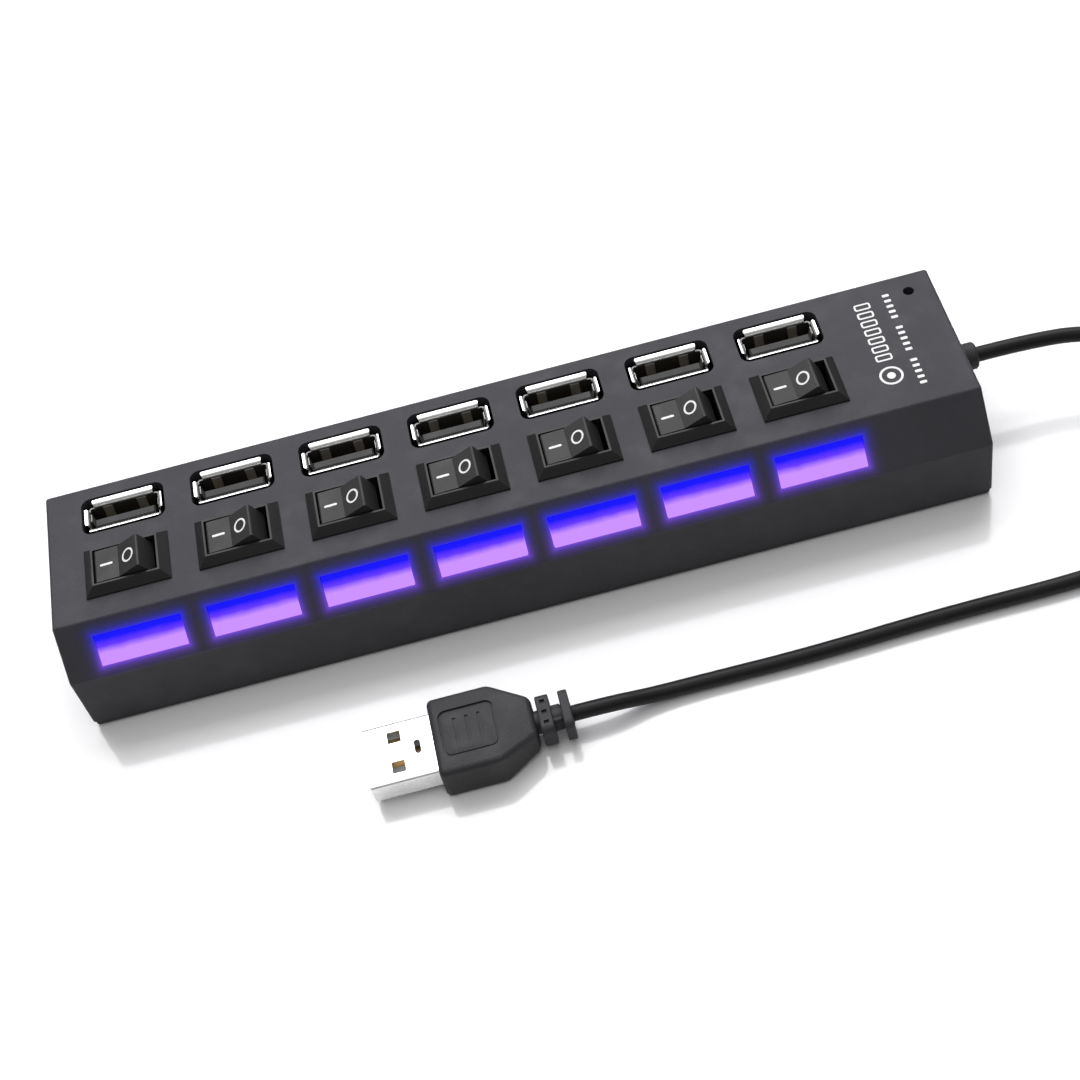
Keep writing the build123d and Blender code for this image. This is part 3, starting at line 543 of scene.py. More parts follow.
@dataclass(frozen=True)
class Webbing:
    """Woven strap, one thread over the next."""

    name: str
    colour: Colour = (0.02, 0.02, 0.022)
    thread: float = 0.45 * MM

    def material(self) -> bpy.types.Material:
        """Build the weave as crossed rounded ribs that take turns on top, their raised parts painted
        paler as a highlight.
        """
        shader = Shader(self.name)
        turn = math.pi / self.thread
        warp = (shader.axis(Axis.Y) * turn).maths("SINE")
        weft = ((shader.axis(Axis.Z) + shader.axis(Axis.X)) * turn).maths("SINE")
        height = abs(warp) * 0.5 + abs(weft) * 0.5 + warp * weft * 0.35
        fuzz = shader.noise(0.1 * MM, 3.0)
        pale = tuple(c * 2.6 for c in self.colour)
        return shader.finish(
            # Raised threads are painted paler as a painted highlight on the weave's tops; the fuzz
            # varies the thread's tone.
            Base_Color=shader.mix(height * 0.5 + fuzz * 0.3, self.colour, pale),
            Roughness=0.75 + fuzz * 0.15,
            Normal=shader.bump(height + fuzz * 0.3, 0.09 * MM),
        )


@dataclass(frozen=True)
class Lamp:
    """Cast lamp body, lit or dark."""

    name: str
    colour: Colour
    glow: float = 0.0

    def material(self) -> bpy.types.Material:
        """Build the cast resin, its tone clouded, glowing in its own colour when lit."""
        shader = Shader(self.name)
        cloud = shader.noise(1.2 * MM, 2.0)
        deep = tuple(c * 0.6 for c in self.colour)
        colour = shader.mix(cloud, deep, self.colour)
        return shader.finish(
            Base_Color=colour,
            Emission_Color=colour,
            Emission_Strength=self.glow,
            Roughness=0.18 + cloud * 0.1,
            Normal=shader.bump(cloud, 0.01 * MM),
        )


@dataclass(frozen=True)
class Tabletop:
    """Pale, very slightly glossy surface under everything."""

    name: str = "tabletop"
    colour: Colour = (0.93, 0.93, 0.935)

    def material(self) -> bpy.types.Material:
        """Build the surface with a breath of unevenness in its shine."""
        shader = Shader(self.name)
        haze = shader.noise(60 * MM, 3.0)
        return shader.finish(
            Base_Color=self.colour,
            Roughness=0.08 + haze * 0.06,
            Specular_IOR_Level=0.8,
        )


# ---------------------------------------------------------------- modelling


class Bench:
    """Modelling by operators, one piece at a time."""

    @staticmethod
    def clear() -> None:
        """Leave edit mode and select nothing."""
        if bpy.context.object and bpy.context.object.mode != "OBJECT":
            bpy.ops.object.mode_set(mode="OBJECT")
        bpy.ops.object.select_all(action="DESELECT")

    @classmethod
    def box(cls, name: str, middle: Point, size: Point) -> bpy.types.Object:
        """Add a block of a given size.

        Args:
            name: the piece's name.
            middle: its centre.
            size: its full width along each axis.

        Returns:
            The new block, its place in its mesh.
        """
        cls.clear()
        bpy.ops.mesh.primitive_cube_add(size=1.0, location=middle)
        piece = bpy.context.object
        piece.name = name
        piece.scale = size
        cls.settle(piece)
        return piece

    @classmethod
    def disc(cls, name: str, middle: Point, radius: float, sides: int) -> bpy.types.Object:
        """Add a flat many-sided face, lying level."""
        cls.clear()
        bpy.ops.mesh.primitive_circle_add(
            vertices=sides, radius=radius, fill_type="NGON", location=middle
        )
        piece = bpy.context.object
        piece.name = name
        cls.settle(piece)
        return piece

    @classmethod
    def tube(
        cls, name: str, middle: Point, radius: float, length: float, sides: int = 48
    ) -> bpy.types.Object:
        """Add a closed round bar along X."""
        cls.clear()
        bpy.ops.mesh.primitive_cylinder_add(
            vertices=sides,
            radius=radius,
            depth=length,
            location=middle,
            rotation=(0.0, math.pi / 2, 0.0),
        )
        piece = bpy.context.object
        piece.name = name
        cls.settle(piece)
        return piece

    @classmethod
    def settle(cls, piece: bpy.types.Object) -> None:
        """Move a piece's place, turn and size into its mesh."""
        cls.clear()
        piece.select_set(True)
        bpy.context.view_layer.objects.active = piece
        bpy.ops.object.transform_apply(location=True, rotation=True, scale=True)

    @classmethod
    def pick(
        cls, piece: bpy.types.Object, wanted: Callable[[Any], bool], kind: str = "FACE"
    ) -> None:
        """Enter edit mode with some of a piece's faces, edges or points selected.

        Args:
            piece: the piece to edit.
            wanted: says of each element whether it is selected.
            kind: FACE, EDGE or VERT.
        """
        cls.clear()
        piece.select_set(True)
        bpy.context.view_layer.objects.active = piece
        bpy.ops.object.mode_set(mode="EDIT")
        bpy.ops.mesh.select_mode(type=kind)
        bpy.ops.mesh.select_all(action="DESELECT")
        mesh = bmesh.from_edit_mesh(piece.data)
        elements = {"FACE": mesh.faces, "EDGE": mesh.edges, "VERT": mesh.verts}[kind]
        for element in elements:
            element.select = bool(wanted(element))
        mesh.select_flush_mode()
        bmesh.update_edit_mesh(piece.data)

    @staticmethod
    def span(edge: Any) -> Vector:
        """From one end of an edge to the other."""
        return edge.verts[0].co - edge.verts[1].co

    @staticmethod
    def extrude(shift: Point) -> None:
        """Extrude the selected faces by a shift."""
        bpy.ops.mesh.extrude_region_move(TRANSFORM_OT_translate={"value": shift})

    @staticmethod
    def shrink(share: Point, centre: Point) -> None:
        """Resize what is selected about a point."""
        bpy.ops.transform.resize(value=share, center_override=centre)

    @classmethod
    def modifier(cls, piece: bpy.types.Object, kind: str, **settings: Any) -> None:
        """Add a modifier, set it and apply it."""
        cls.clear()
        piece.select_set(True)
        bpy.context.view_layer.objects.active = piece
        made = piece.modifiers.new(kind.lower(), kind)
        for name, value in settings.items():
            setattr(made, name, value)
        bpy.ops.object.modifier_apply(modifier=made.name)

    @classmethod
    def round_edges(
        cls, piece: bpy.types.Object, width: float, segments: int = 3, angle: float = 30.0
    ) -> None:
        """Round every edge sharper than an angle, and shade the piece smoothly."""
        cls.modifier(
            piece,
            "BEVEL",
            width=width,
            segments=segments,
            limit_method="ANGLE",
            angle_limit=math.radians(angle),
            harden_normals=False,
        )
        cls.smooth(piece)

    @classmethod
    def round_upright(cls, piece: bpy.types.Object, corner: float, segments: int = 5) -> None:
        """Round the upright edges of a block."""
        cls.pick(piece, lambda edge: abs(cls.span(edge).normalized().z) > 0.9, "EDGE")
        bpy.ops.mesh.bevel(offset=corner, segments=segments)
        cls.clear()

    @classmethod
    def smooth(cls, piece: bpy.types.Object, angle: float = 35.0) -> None:
        """Shade smoothly across edges softer than an angle."""
        cls.clear()
        piece.select_set(True)
        bpy.context.view_layer.objects.active = piece
        bpy.ops.object.shade_smooth_by_angle(angle=math.radians(angle))

    @classmethod
    def carve(cls, piece: bpy.types.Object, cutter: bpy.types.Object) -> None:
        """Cut one piece's shape out of another and drop the cutter."""
        cls.modifier(piece, "BOOLEAN", operation="DIFFERENCE", solver="EXACT", object=cutter)
        bpy.data.objects.remove(cutter)

    @classmethod
    def join(cls, pieces: Sequence[bpy.types.Object]) -> bpy.types.Object:
        """Join pieces into the first of them."""
        cls.clear()
        for piece in pieces:
            piece.select_set(True)
        bpy.context.view_layer.objects.active = pieces[0]
        bpy.ops.object.join()
        return bpy.context.object

    @classmethod
    def turn(cls, piece: bpy.types.Object, angle: float, axis: Axis, centre: Point) -> None:
        """Turn a piece about an axis through a point, its place kept in its mesh.

        The operator turns the other way when there is no window, so the angle is reversed.
        """
        cls.pick(piece, lambda face: True)
        bpy.ops.transform.rotate(
            value=-angle, orient_axis=axis.name, orient_type="GLOBAL", center_override=centre
        )
        cls.clear()

    @classmethod
    def copy(cls, piece: bpy.types.Object, name: str, shift: Point) -> bpy.types.Object:
        """Copy a piece with a mesh of its own, moved by a shift."""
        made = piece.copy()
        made.data = piece.data.copy()
        made.name = name
        bpy.context.scene.collection.objects.link(made)
        made.location = shift
        cls.settle(made)
        return made


def paint(piece: bpy.types.Object, material: bpy.types.Material) -> None:
    """Give a piece one material."""
    piece.data.materials.clear()
    piece.data.materials.append(material)


# ---------------------------------------------------------------- the hub's finishes


class Palette:
    """Every finish of the hub, built once."""

    def __init__(self, band: WindowBand) -> None:
        """Build the materials.

        Args:
            band: where the lit windows lie.
        """
        fine = 0.2 * MM
        finishes = {
            "case": CaseMoulding(
                "case_plastic", (0.040, 0.0385, 0.0455), roughness=0.56, specular=0.3, band=band
            ),
            "base": Moulding("base_plastic", (0.016, 0.016, 0.017), roughness=0.55),
            "frame": Moulding(
                "switch_plastic", (0.012, 0.012, 0.0125), fine, 0.012 * MM, 0.4, specular=0.35
            ),
            "rocker": Moulding(
                "rocker_plastic", (0.018, 0.0175, 0.0185), 0.22 * MM, 0.02 * MM, 0.45, specular=0.35
            ),
            "tongue": Moulding(
                "tongue_plastic", (0.03, 0.03, 0.03), fine, 0.01 * MM, 0.5, specular=0.3
            ),
            "grip": Moulding(
                "plug_grip", (0.024, 0.024, 0.0265), 0.32 * MM, 0.06 * MM, 0.52, specular=0.35
            ),
            "block": Moulding("white_plastic", (0.62, 0.62, 0.60), fine, 0.008 * MM, 0.4),
            "feet": Moulding(
                "foot_rubber", (0.02, 0.02, 0.021), 0.5 * MM, 0.05 * MM, 0.8, mottle=0.25
            ),
            "resin": Moulding("chip_resin", (0.012, 0.012, 0.013), 0.15 * MM, 0.01 * MM, 0.45),
            "sleeve": Moulding(
                "capacitor_sleeve", (0.012, 0.013, 0.03), 0.6 * MM, 0.006 * MM, 0.2
            ),
            "wires": Moulding("wire_sleeve", (0.42, 0.03, 0.025), 0.3 * MM, 0.006 * MM, 0.35),
            "inlet": Moulding("black_plastic", (0.013, 0.013, 0.014), 0.25 * MM, 0.012 * MM, 0.4),
            "nickel": Plate("bright_metal", (0.93, 0.93, 0.92), 0.12),
            # Both socket plates darken with depth below the mouth as painted shade; the springs' shade
            # colour is paler.
            "socket": SocketPlate("socket_nickel", (0.95, 0.95, 0.94), 0.2),
            "spring": SocketPlate(
                "spring_nickel", (0.85, 0.84, 0.82), 0.25, inside=(0.42, 0.41, 0.4)
            ),
            "shell": Plate("plug_nickel", (0.95, 0.95, 0.94), 0.2),
            "tin": Plate("tinned_metal", (0.72, 0.72, 0.73), 0.3, Axis.Z),
            "gold": Plate("gold_contact", (0.83, 0.60, 0.30), 0.22),
            "zinc": Plate("screw_steel", (0.56, 0.57, 0.60), 0.3, Axis.Y),
            "window": LitWindow("light_window", band),
            "board": Laminate("board"),
            "jacket": Jacket("cable_jacket"),
            "ink": Ink("white_ink"),
            "strap": Webbing("tie_strap"),
            "lamp": Lamp("lamp", (0.2, 0.15, 1.0), 1.5),
            "dark_lamp": Lamp("dark_lamp", (0.12, 0.012, 0.012)),
        }
        self.materials = {use: finish.material() for use, finish in finishes.items()}

    def __getitem__(self, use: str) -> bpy.types.Material:
        """The material for one use."""
        return self.materials[use]


# ---------------------------------------------------------------- sub-assemblies


@dataclass(frozen=True)
class SoftLight:
    """A soft rectangular light that faces the hub."""

    name: str
    place: Point
    size: tuple[float, float]
    watts: float
    colour: Colour = (1.0, 1.0, 1.0)

    def hang(self) -> None:
        """Add the light to the scene, turned to the origin."""
        data = bpy.data.lights.new(self.name, "AREA")
        data.shape = "RECTANGLE"
        data.size = self.size[0]
        data.size_y = self.size[1]
        data.energy = self.watts
        data.color = self.colour
        made = bpy.data.objects.new(self.name, data)
        made.location = self.place
        made.rotation_euler = (-Vector(self.place)).to_track_quat("-Z", "Y").to_euler()
        bpy.context.scene.collection.objects.link(made)


@dataclass
class Studio:
    """Camera, floor and lights."""

    lens: float = 65.439
    sensor: float = 36.0
    nearest: float = 0.01
    turn: Point = (37.479, 9.319, -11.347)
    place: Point = (0.004736, -0.229313, 0.281806)
    floor_width: float = 5.0
    floor_depth: float = 0.01
    ambient: float = 0.30
    lights: tuple[SoftLight, ...] = (
        SoftLight("key", (0.05, 0.62, 0.72), (1.2, 0.8), 10.0, (0.985, 0.98, 1.0)),
        SoftLight("top", (-0.1, 0.0, 1.1), (1.4, 0.9), 5.0),
    )

    def camera(self) -> None:
        """Set up the camera."""
        data = bpy.data.cameras.new("camera")
        data.lens = self.lens
        data.sensor_width = self.sensor
        data.clip_start = self.nearest
        camera = bpy.data.objects.new("camera", data)
        camera.rotation_euler = tuple(math.radians(a) for a in self.turn)
        camera.location = self.place
        bpy.context.scene.collection.objects.link(camera)
        bpy.context.scene.camera = camera

    def build(self) -> None:
        """Make the floor, the ambient light and the soft lights."""
        floor = Bench.box(
            "floor",
            (0, 0, -self.floor_depth / 2),
            (self.floor_width, self.floor_width, self.floor_depth),
        )
        paint(floor, Tabletop().material())
        world = bpy.data.worlds.new("studio")
        world.use_nodes = True
        background = world.node_tree.nodes["Background"]
        background.inputs["Color"].default_value = (1.0, 1.0, 1.0, 1.0)
        background.inputs["Strength"].default_value = self.ambient
        bpy.context.scene.world = world
        bpy.context.scene.view_settings.view_transform = "Standard"
        for light in self.lights:
            light.hang()
        log.info("studio ready")


@dataclass
class Lead:
    """The captive lead: out of the collar, round a put-away coil, back to the plug."""

    diameter: float = 2.8 * MM
    floor: float = 1.41 * MM
    collar_height: float = 13.0 * MM
    plug_height: float = 3.8 * MM
    coil_centre: tuple[float, float] = (128.0 * MM, -22.5 * MM)
    coil_radius: float = 14.6 * MM
    coil_pitch: float = 2.85 * MM
    turns: float = 3.5
    points_per_turn: int = 16
    length: float = 0.49

    def leaving(self) -> list[Point]:
        """Points from the collar to just before the coil."""
        up = self.collar_height
        return [
            (86.7 * MM, 0.0, up),
            (95.5 * MM, 0.0, up),
            (107.0 * MM, -0.7 * MM, 12.3 * MM),
            (118.5 * MM, -6.6 * MM, 11.7 * MM),
        ]

    def coil(self) -> list[Point]:
        """Points of the coil's turns, clockwise from its far side, working down.

        The curve passes inside its points, so they stand a little further out.
        """
        count = round(self.turns * self.points_per_turn)
        out = self.coil_radius / (0.5 + 0.5 * math.cos(math.pi / self.points_per_turn))
        made = []
        for i in range(count + 1):
            angle = math.pi / 2 - 2 * math.pi * i / self.points_per_turn
            height = self.floor + self.coil_pitch * (self.turns - i / self.points_per_turn)
            made.append(
                (
                    self.coil_centre[0] + out * math.cos(angle),
                    self.coil_centre[1] + out * math.sin(angle),
                    height,
                )
            )
        return made

    def returning(self) -> list[Point]:
        """Points from just after the coil to the plug."""
        low = self.floor
        return [
            (118.5 * MM, -37.8 * MM, low),
            (106.0 * MM, -42.6 * MM, low),
            (92.0 * MM, -44.7 * MM, low),
            (66.0 * MM, -44.6 * MM, low),
            (42.0 * MM, -45.6 * MM, low),
            (24.0 * MM, -45.4 * MM, low),
            (14.0 * MM, -45.7 * MM, low + 0.5 * MM),
            (7.2 * MM, -46.5 * MM, self.plug_height),
            (0.6 * MM, -46.5 * MM, self.plug_height),
        ]

    def build(self, palette: Palette) -> bpy.types.Object:
        """Make the lead as one smooth curve.

        Args:
            palette: the hub's finishes.

        Returns:
            The lead.
        """
        points = self.leaving() + self.coil() + self.returning()
        data = bpy.data.curves.new("lead", "CURVE")
        data.dimensions = "3D"
        spline = data.splines.new("NURBS")
        spline.points.add(len(points) - 1)
        for point, place in zip(spline.points, points):
            point.co = (*place, 1.0)
        spline.order_u = 3
        spline.use_endpoint_u = True
        data.resolution_u = 8
        data.bevel_depth = self.diameter / 2
        data.bevel_resolution = 6
        data.use_fill_caps = True
        lead = bpy.data.objects.new("lead", data)
        bpy.context.scene.collection.objects.link(lead)
        data.materials.append(palette["jacket"])
        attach(lead, "case")
        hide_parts("cable_lead", "cable_coil", "cable_tail")
        log.info("lead: %d points", len(points))
        return lead


@dataclass
class Tie:
    """Woven strap round the coil's turns, its end lapped over and pressed down."""

    sheet: float = 0.5 * MM
    lap: float = 5.0 * MM
    proud: float = 0.18 * MM
    corner: float = 0.8 * MM
    edge: float = 0.12 * MM
    lap_drop: float = 1.2 * MM
    lap_narrower: float = 0.3 * MM

    def build(self, palette: Palette) -> bpy.types.Object:
        """Make the strap in the CAD strap's place.

        Args:
            palette: the hub's finishes.

        Returns:
            The strap.
        """
        low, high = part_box("cable_tie")
        middle = (low + high) / 2
        size = high - low - Vector((2 * self.proud, 0, 0))
        strap = Bench.box("lead_tie", tuple(middle), tuple(size))
        Bench.pick(strap, lambda face: abs(face.normal.y) > 0.9)
        bpy.ops.mesh.delete(type="FACE")
        Bench.modifier(strap, "BEVEL", width=self.corner, segments=5, limit_method="NONE")
        Bench.modifier(strap, "SOLIDIFY", thickness=self.sheet, offset=-1.0)
        lap = Bench.box(
            "lap",
            (high.x - self.proud, middle.y, high.z - self.lap / 2 - self.lap_drop),
            (2 * self.proud, size.y - self.lap_narrower, self.lap),
        )
        Bench.round_edges(lap, self.edge, 2)
        Bench.round_edges(strap, self.edge, 2, 50.0)
        tie = Bench.join([strap, lap])
        tie.name = "lead_tie"
        paint(tie, palette["strap"])
        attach(tie, "case")
        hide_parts("cable_tie")
        log.info("strap: %d faces", len(tie.data.polygons))
        return tie


@dataclass
class Plug:
    """Over-moulded grip with a grooved panel and a ribbed neck."""

    straight: float = 10.7 * MM
    taper: float = 6.7 * MM
    neck_width: float = 7.8 * MM
    neck_height: float = 5.6 * MM
    core: float = 4.0 * MM
    relief: float = 6.4 * MM
    round: float = 1.0 * MM
    panel: tuple[float, float] = (9.6 * MM, 9.2 * MM)
    panel_back: float = 1.5 * MM
    corner: float = 1.4 * MM
    groove: float = 0.32 * MM
    depth: float = 0.35 * MM
    slot: tuple[float, float] = (0.6 * MM, 5.6 * MM)
    slot_corner: float = 0.25 * MM
    slot_step: float = 2.1 * MM
    slot_depth: float = 0.3 * MM
    ribs: tuple[tuple[float, float], ...] = ((0.7 * MM, 2.3 * MM), (4.7 * MM, 1.6 * MM))
    dimple: Point = (0.9 * MM, 0.8 * MM, 0.9 * MM)
    dimple_spread: float = 2.1 * MM
    shell_room: float = 0.06 * MM
    shell_round: float = 0.6 * MM
    sunk: float = 0.16 * MM
    panel_round: float = 0.12 * MM
    core_sunk: float = 0.5 * MM
    core_short: float = 0.02 * MM
    core_round: float = 0.3 * MM
    rib_corner: float = 1.3 * MM
    rib_round: float = 0.22 * MM
    web: tuple[float, float] = (4.0 * MM, 1.1 * MM)
    web_height: float = 0.6
    web_back: float = 0.6 * MM
    web_round: float = 0.2 * MM

    def grip(self) -> bpy.types.Object:
        """Shape the grip: a block drawn out to a narrower neck."""
        low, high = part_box("plug_body")
        self.front = low.x
        self.axis_y = (low.y + high.y) / 2
        self.axis_z = (low.z + high.z) / 2
        self.top = high.z
        width, height = high.y - low.y, high.z - low.z
        block = Bench.box(
            "plug_grip",
            (self.front + self.straight / 2, self.axis_y, self.axis_z),
            (self.straight, width, height),
        )
        Bench.pick(block, lambda face: face.normal.x > 0.9)
        Bench.extrude((self.taper, 0, 0))
        Bench.shrink(
            (1.0, self.neck_width / width, self.neck_height / height),
            (0, self.axis_y, self.axis_z),
        )
        Bench.round_edges(block, self.round, 5, 15.0)
        socket_low, socket_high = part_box("plug_shell")
        hollow = Bench.box(
            "hollow",
            tuple((socket_low + socket_high) / 2),
            tuple(side + self.shell_room for side in socket_high - socket_low),
        )
        Bench.round_edges(hollow, self.shell_round, 3)
        Bench.carve(block, hollow)
        return block

    def rounded(self, name: str, middle: Point, size: Point, corner: float) -> bpy.types.Object:
        """Shape a block with rounded upright edges."""
        block = Bench.box(name, middle, size)
        Bench.round_upright(block, corner)
        return block

    def panel_plate(self, grip: bpy.types.Object) -> bpy.types.Object:
        """Sink a pocket into the grip and shape the plain slotted panel that fills it."""
        middle = (self.front + self.panel_back + self.panel[0] / 2, self.axis_y, self.top)
        pocket = self.rounded("pocket", middle, (*self.panel, 2 * self.depth), self.corner)
        Bench.carve(grip, pocket)
        inner = tuple(side - 2 * self.groove for side in self.panel)
        plate = self.rounded(
            "panel",
            (middle[0], middle[1], self.top - self.sunk - self.depth),
            (*inner, 2 * self.depth),
            self.corner - self.groove,
        )
        Bench.round_edges(plate, self.panel_round, 2, 40.0)
        for place in (-1, 0, 1):
            slot = self.rounded(
                "slot",
                (middle[0] + place * self.slot_step, self.axis_y, self.top - self.sunk),
                (*self.slot, 2 * self.slot_depth),
                self.slot_corner,
            )
            Bench.carve(plate, slot)
        Bench.smooth(plate, 30.0)
        return plate

    def neck(self) -> list[bpy.types.Object]:
        """Shape the round core behind the grip and the ribs on it."""
        start = self.front + self.straight + self.taper
        core = Bench.tube(
            "core",
            (start + self.relief / 2 - self.core_sunk, self.axis_y, self.axis_z),
            self.core / 2,
            self.relief + 2 * self.core_sunk - self.core_short,
        )
        Bench.round_edges(core, self.core_round, 3)
        made = [core]
        for number, (offset, thickness) in enumerate(self.ribs):
            rib = Bench.box(
                f"rib_{number}",
                (start + offset + thickness / 2, self.axis_y, self.axis_z),
                (thickness, self.neck_width, self.neck_height),
            )
            Bench.pick(
                rib, lambda edge: abs(Bench.span(edge).x) > thickness / 2, "EDGE"
            )
            bpy.ops.mesh.bevel(offset=self.rib_corner, segments=5)
            Bench.clear()
            Bench.round_edges(rib, self.rib_round, 3, 60.0)
            made.append(rib)
        offset, thickness = self.ribs[0]
        for spread in (-self.dimple_spread, 0.0, self.dimple_spread):
            place = (
                start + offset + thickness / 2,
                self.axis_y + spread,
                self.axis_z + self.neck_height / 2,
            )
            Bench.carve(made[1], Bench.box("dimple", place, self.dimple))
        for side in (-1, 1):
            web = Bench.box(
                "web",
                (start + self.relief / 2 - self.web_back, self.axis_y + side * self.web[1], self.axis_z),
                (*self.web, self.neck_height * self.web_height),
            )
            Bench.round_edges(web, self.web_round, 2)
            made.append(web)
        return made

    def build(self, palette: Palette) -> bpy.types.Object:
        """Make the grip with its panel and ribbed neck.

        Args:
            palette: the hub's finishes.

        Returns:
            The grip.
        """
        grip = self.grip()
        panel = self.panel_plate(grip)
        Bench.smooth(grip, 30.0)
        grip = Bench.join([grip, panel, *self.neck()])
        grip.name = "plug_grip"
        paint(grip, palette["grip"])
        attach(grip, "case")
        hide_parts("plug_body")
        log.info("plug grip: %d faces", len(grip.data.polygons))
        return grip


@dataclass
class RockerMarks:
    """The dash and ring printed on each rocker's two facets."""

    tilt: float = math.radians(14.0)
    tip: float = 5.27 * MM
    valley: float = 4.36 * MM
    half_length: float = 4.3 * MM
    proud: float = 0.03 * MM
    dash: tuple[float, float] = (2.3 * MM, 0.48 * MM)
    dash_from_valley: float = 2.2 * MM
    ring: tuple[float, float] = (2.55 * MM, 2.9 * MM)
    ring_from_valley: float = 2.15 * MM
    ring_line: float = 0.36 * MM
    ring_sides: int = 40

    @property
    def facet(self) -> float:
        """Slope of a facet, from the valley up to the tip."""
        return math.atan2(self.tip - self.valley, self.half_length)

    def facet_point(self, pivot: Vector, along: float, angle: float) -> tuple[Point, float]:
        """Place on a facet.

        Args:
            pivot: the rocker's pivot.
            along: distance from the valley, to the right when positive.
            angle: the facet's slope up to the right.

        Returns:
            The point, and the angle to turn a level piece by.
        """
        x = pivot.x - self.valley * math.sin(self.tilt) + along * math.cos(angle)
        z = pivot.z + self.valley * math.cos(self.tilt) + along * math.sin(angle)
        return (x, pivot.y, z), -angle

    def make_dash(self, pivot: Vector) -> bpy.types.Object:
        """Model the dash with rounded ends on the pressed facet."""
        angle = self.tilt - self.facet
        place, turn = self.facet_point(pivot, -self.dash_from_valley, angle)
        dash = Bench.box("dash", place, (*self.dash, 2 * self.proud))
        Bench.pick(dash, lambda edge: abs(Bench.span(edge).z) > self.proud, "EDGE")
        bpy.ops.mesh.bevel(offset=self.dash[1] * 0.45, segments=4)
        Bench.clear()
        Bench.turn(dash, turn, Axis.Y, place)
        return dash

    def make_ring(self, pivot: Vector) -> bpy.types.Object:
        """Model the ring on the raised facet."""
        angle = self.tilt + self.facet
        place, turn = self.facet_point(pivot, self.ring_from_valley, angle)
        ring = Bench.disc("ring", place, self.ring[0] / 2, self.ring_sides)
        Bench.pick(ring, lambda face: True)
        Bench.shrink((1.0, self.ring[1] / self.ring[0], 1.0), place)
        bpy.ops.mesh.inset(thickness=self.ring_line)
        bpy.ops.mesh.delete(type="FACE")
        Bench.clear()
        Bench.modifier(ring, "SOLIDIFY", thickness=2 * self.proud, offset=0.0)
        Bench.turn(ring, turn, Axis.Y, place)
        return ring

    def build(self, palette: Palette, frame: dict[str, Any]) -> None:
        """Print every rocker.

        Args:
            palette: the hub's finishes.
            frame: the loaded frame, for the pivots.
        """
        pivots = {
            joint["child"]: Vector(joint["pos_m"])
            for joint in frame["joints"]
            if joint["child"].startswith("rocker")
        }
        first = pivots["rocker_body_1"]
        model = Bench.join([self.make_ring(first), self.make_dash(first)])
        model.name = "rocker_marks_1"
        paint(model, palette["ink"])
        marks = {}
        for body, pivot in sorted(pivots.items()):
            made = model
            if pivot is not first:
                number = body.rsplit("_", 1)[1]
                made = Bench.copy(model, f"rocker_marks_{number}", tuple(pivot - first))
            marks[body] = made
        for body, made in marks.items():
            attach(made, body)
        log.info("rocker marks: %d", len(marks))


@dataclass
class TopPrint:
    """Plain pictogram at the lead's end: a ringed dot, seven little mouths and a row of ticks."""

    row_x: float = 68.9 * MM
    ring_y: float = -7.4 * MM
    ring: float = 4.2 * MM
    ring_line: float = 0.42 * MM
    ring_sides: int = 48
    dot: float = 1.5 * MM
    mouths: int = 7
    mouth: tuple[float, float] = (3.0 * MM, 1.55 * MM)
    mouth_line: float = 0.34 * MM
    first_mouth_y: float = -3.0 * MM
    mouth_step: float = 2.15 * MM
    ticks_x: float = 73.6 * MM
    ticks: int = 17
    tick: tuple[float, float] = (1.25 * MM, 0.62 * MM)
    first_tick_y: float = -10.6 * MM
    tick_step: float = 1.36 * MM
    word: int = 6
    thickness: float = 0.03 * MM

    def disc(self, name: str, y: float, top: float, width: float, line: float) -> bpy.types.Object:
        """Print one round mark in the row.

        Args:
            name: the mark's name.
            y: its place along the row.
            top: the height of the printed face.
            width: its diameter.
            line: the width of its outline, or 0 for a solid mark.

        Returns:
            The mark.
        """
        place = (self.row_x, y, top + self.thickness)
        mark = Bench.disc(name, place, width / 2, self.ring_sides)
        if line:
            Bench.pick(mark, lambda face: True)
            bpy.ops.mesh.inset(thickness=line)
            bpy.ops.mesh.delete(type="FACE")
        Bench.modifier(mark, "SOLIDIFY", thickness=self.thickness, offset=-1.0)
        return mark

    def mark(
        self, name: str, middle: Point, size: tuple[float, float], line: float
    ) -> bpy.types.Object:
        """Print one rounded oblong.

        Args:
            name: the mark's name.
            middle: its centre, on the face.
            size: its widths along X and Y.
            line: the width of its outline, or 0 for a solid mark.

        Returns:
            The mark.
        """
        mark = Bench.box(name, middle, (*size, 2 * self.thickness))
        Bench.round_upright(mark, min(size) * 0.28, 3)
        if line:
            Bench.pick(mark, lambda face: face.normal.z < 0.9)
            bpy.ops.mesh.delete(type="FACE")
            Bench.pick(mark, lambda face: True)
            bpy.ops.mesh.inset(thickness=line)
            bpy.ops.mesh.delete(type="FACE")
            Bench.clear()
            Bench.modifier(mark, "SOLIDIFY", thickness=self.thickness, offset=-1.0)
        return mark

    def build(self, palette: Palette) -> None:
        """Print the top of the case.

        Args:
            palette: the hub's finishes.
        """
        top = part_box("top_cover")[1].z
        pieces = [
            self.disc("ring_mark", self.ring_y, top, self.ring, self.ring_line),
            self.disc("dot", self.ring_y, top, self.dot, 0.0),
        ]
        for number in range(self.mouths):
            place = (self.row_x, self.first_mouth_y + number * self.mouth_step, top)
            pieces.append(self.mark(f"mouth_{number}", place, self.mouth, self.mouth_line))
        for number in range(self.ticks):
            if number % self.word != self.word - 1:
                place = (self.ticks_x, self.first_tick_y + number * self.tick_step, top)
                pieces.append(self.mark(f"tick_{number}", place, self.tick, 0.0))
        made = Bench.join(pieces)
        made.name = "top_print"
        paint(made, palette["ink"])
        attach(made, "case")
        log.info("top print: %d faces", len(made.data.polygons))


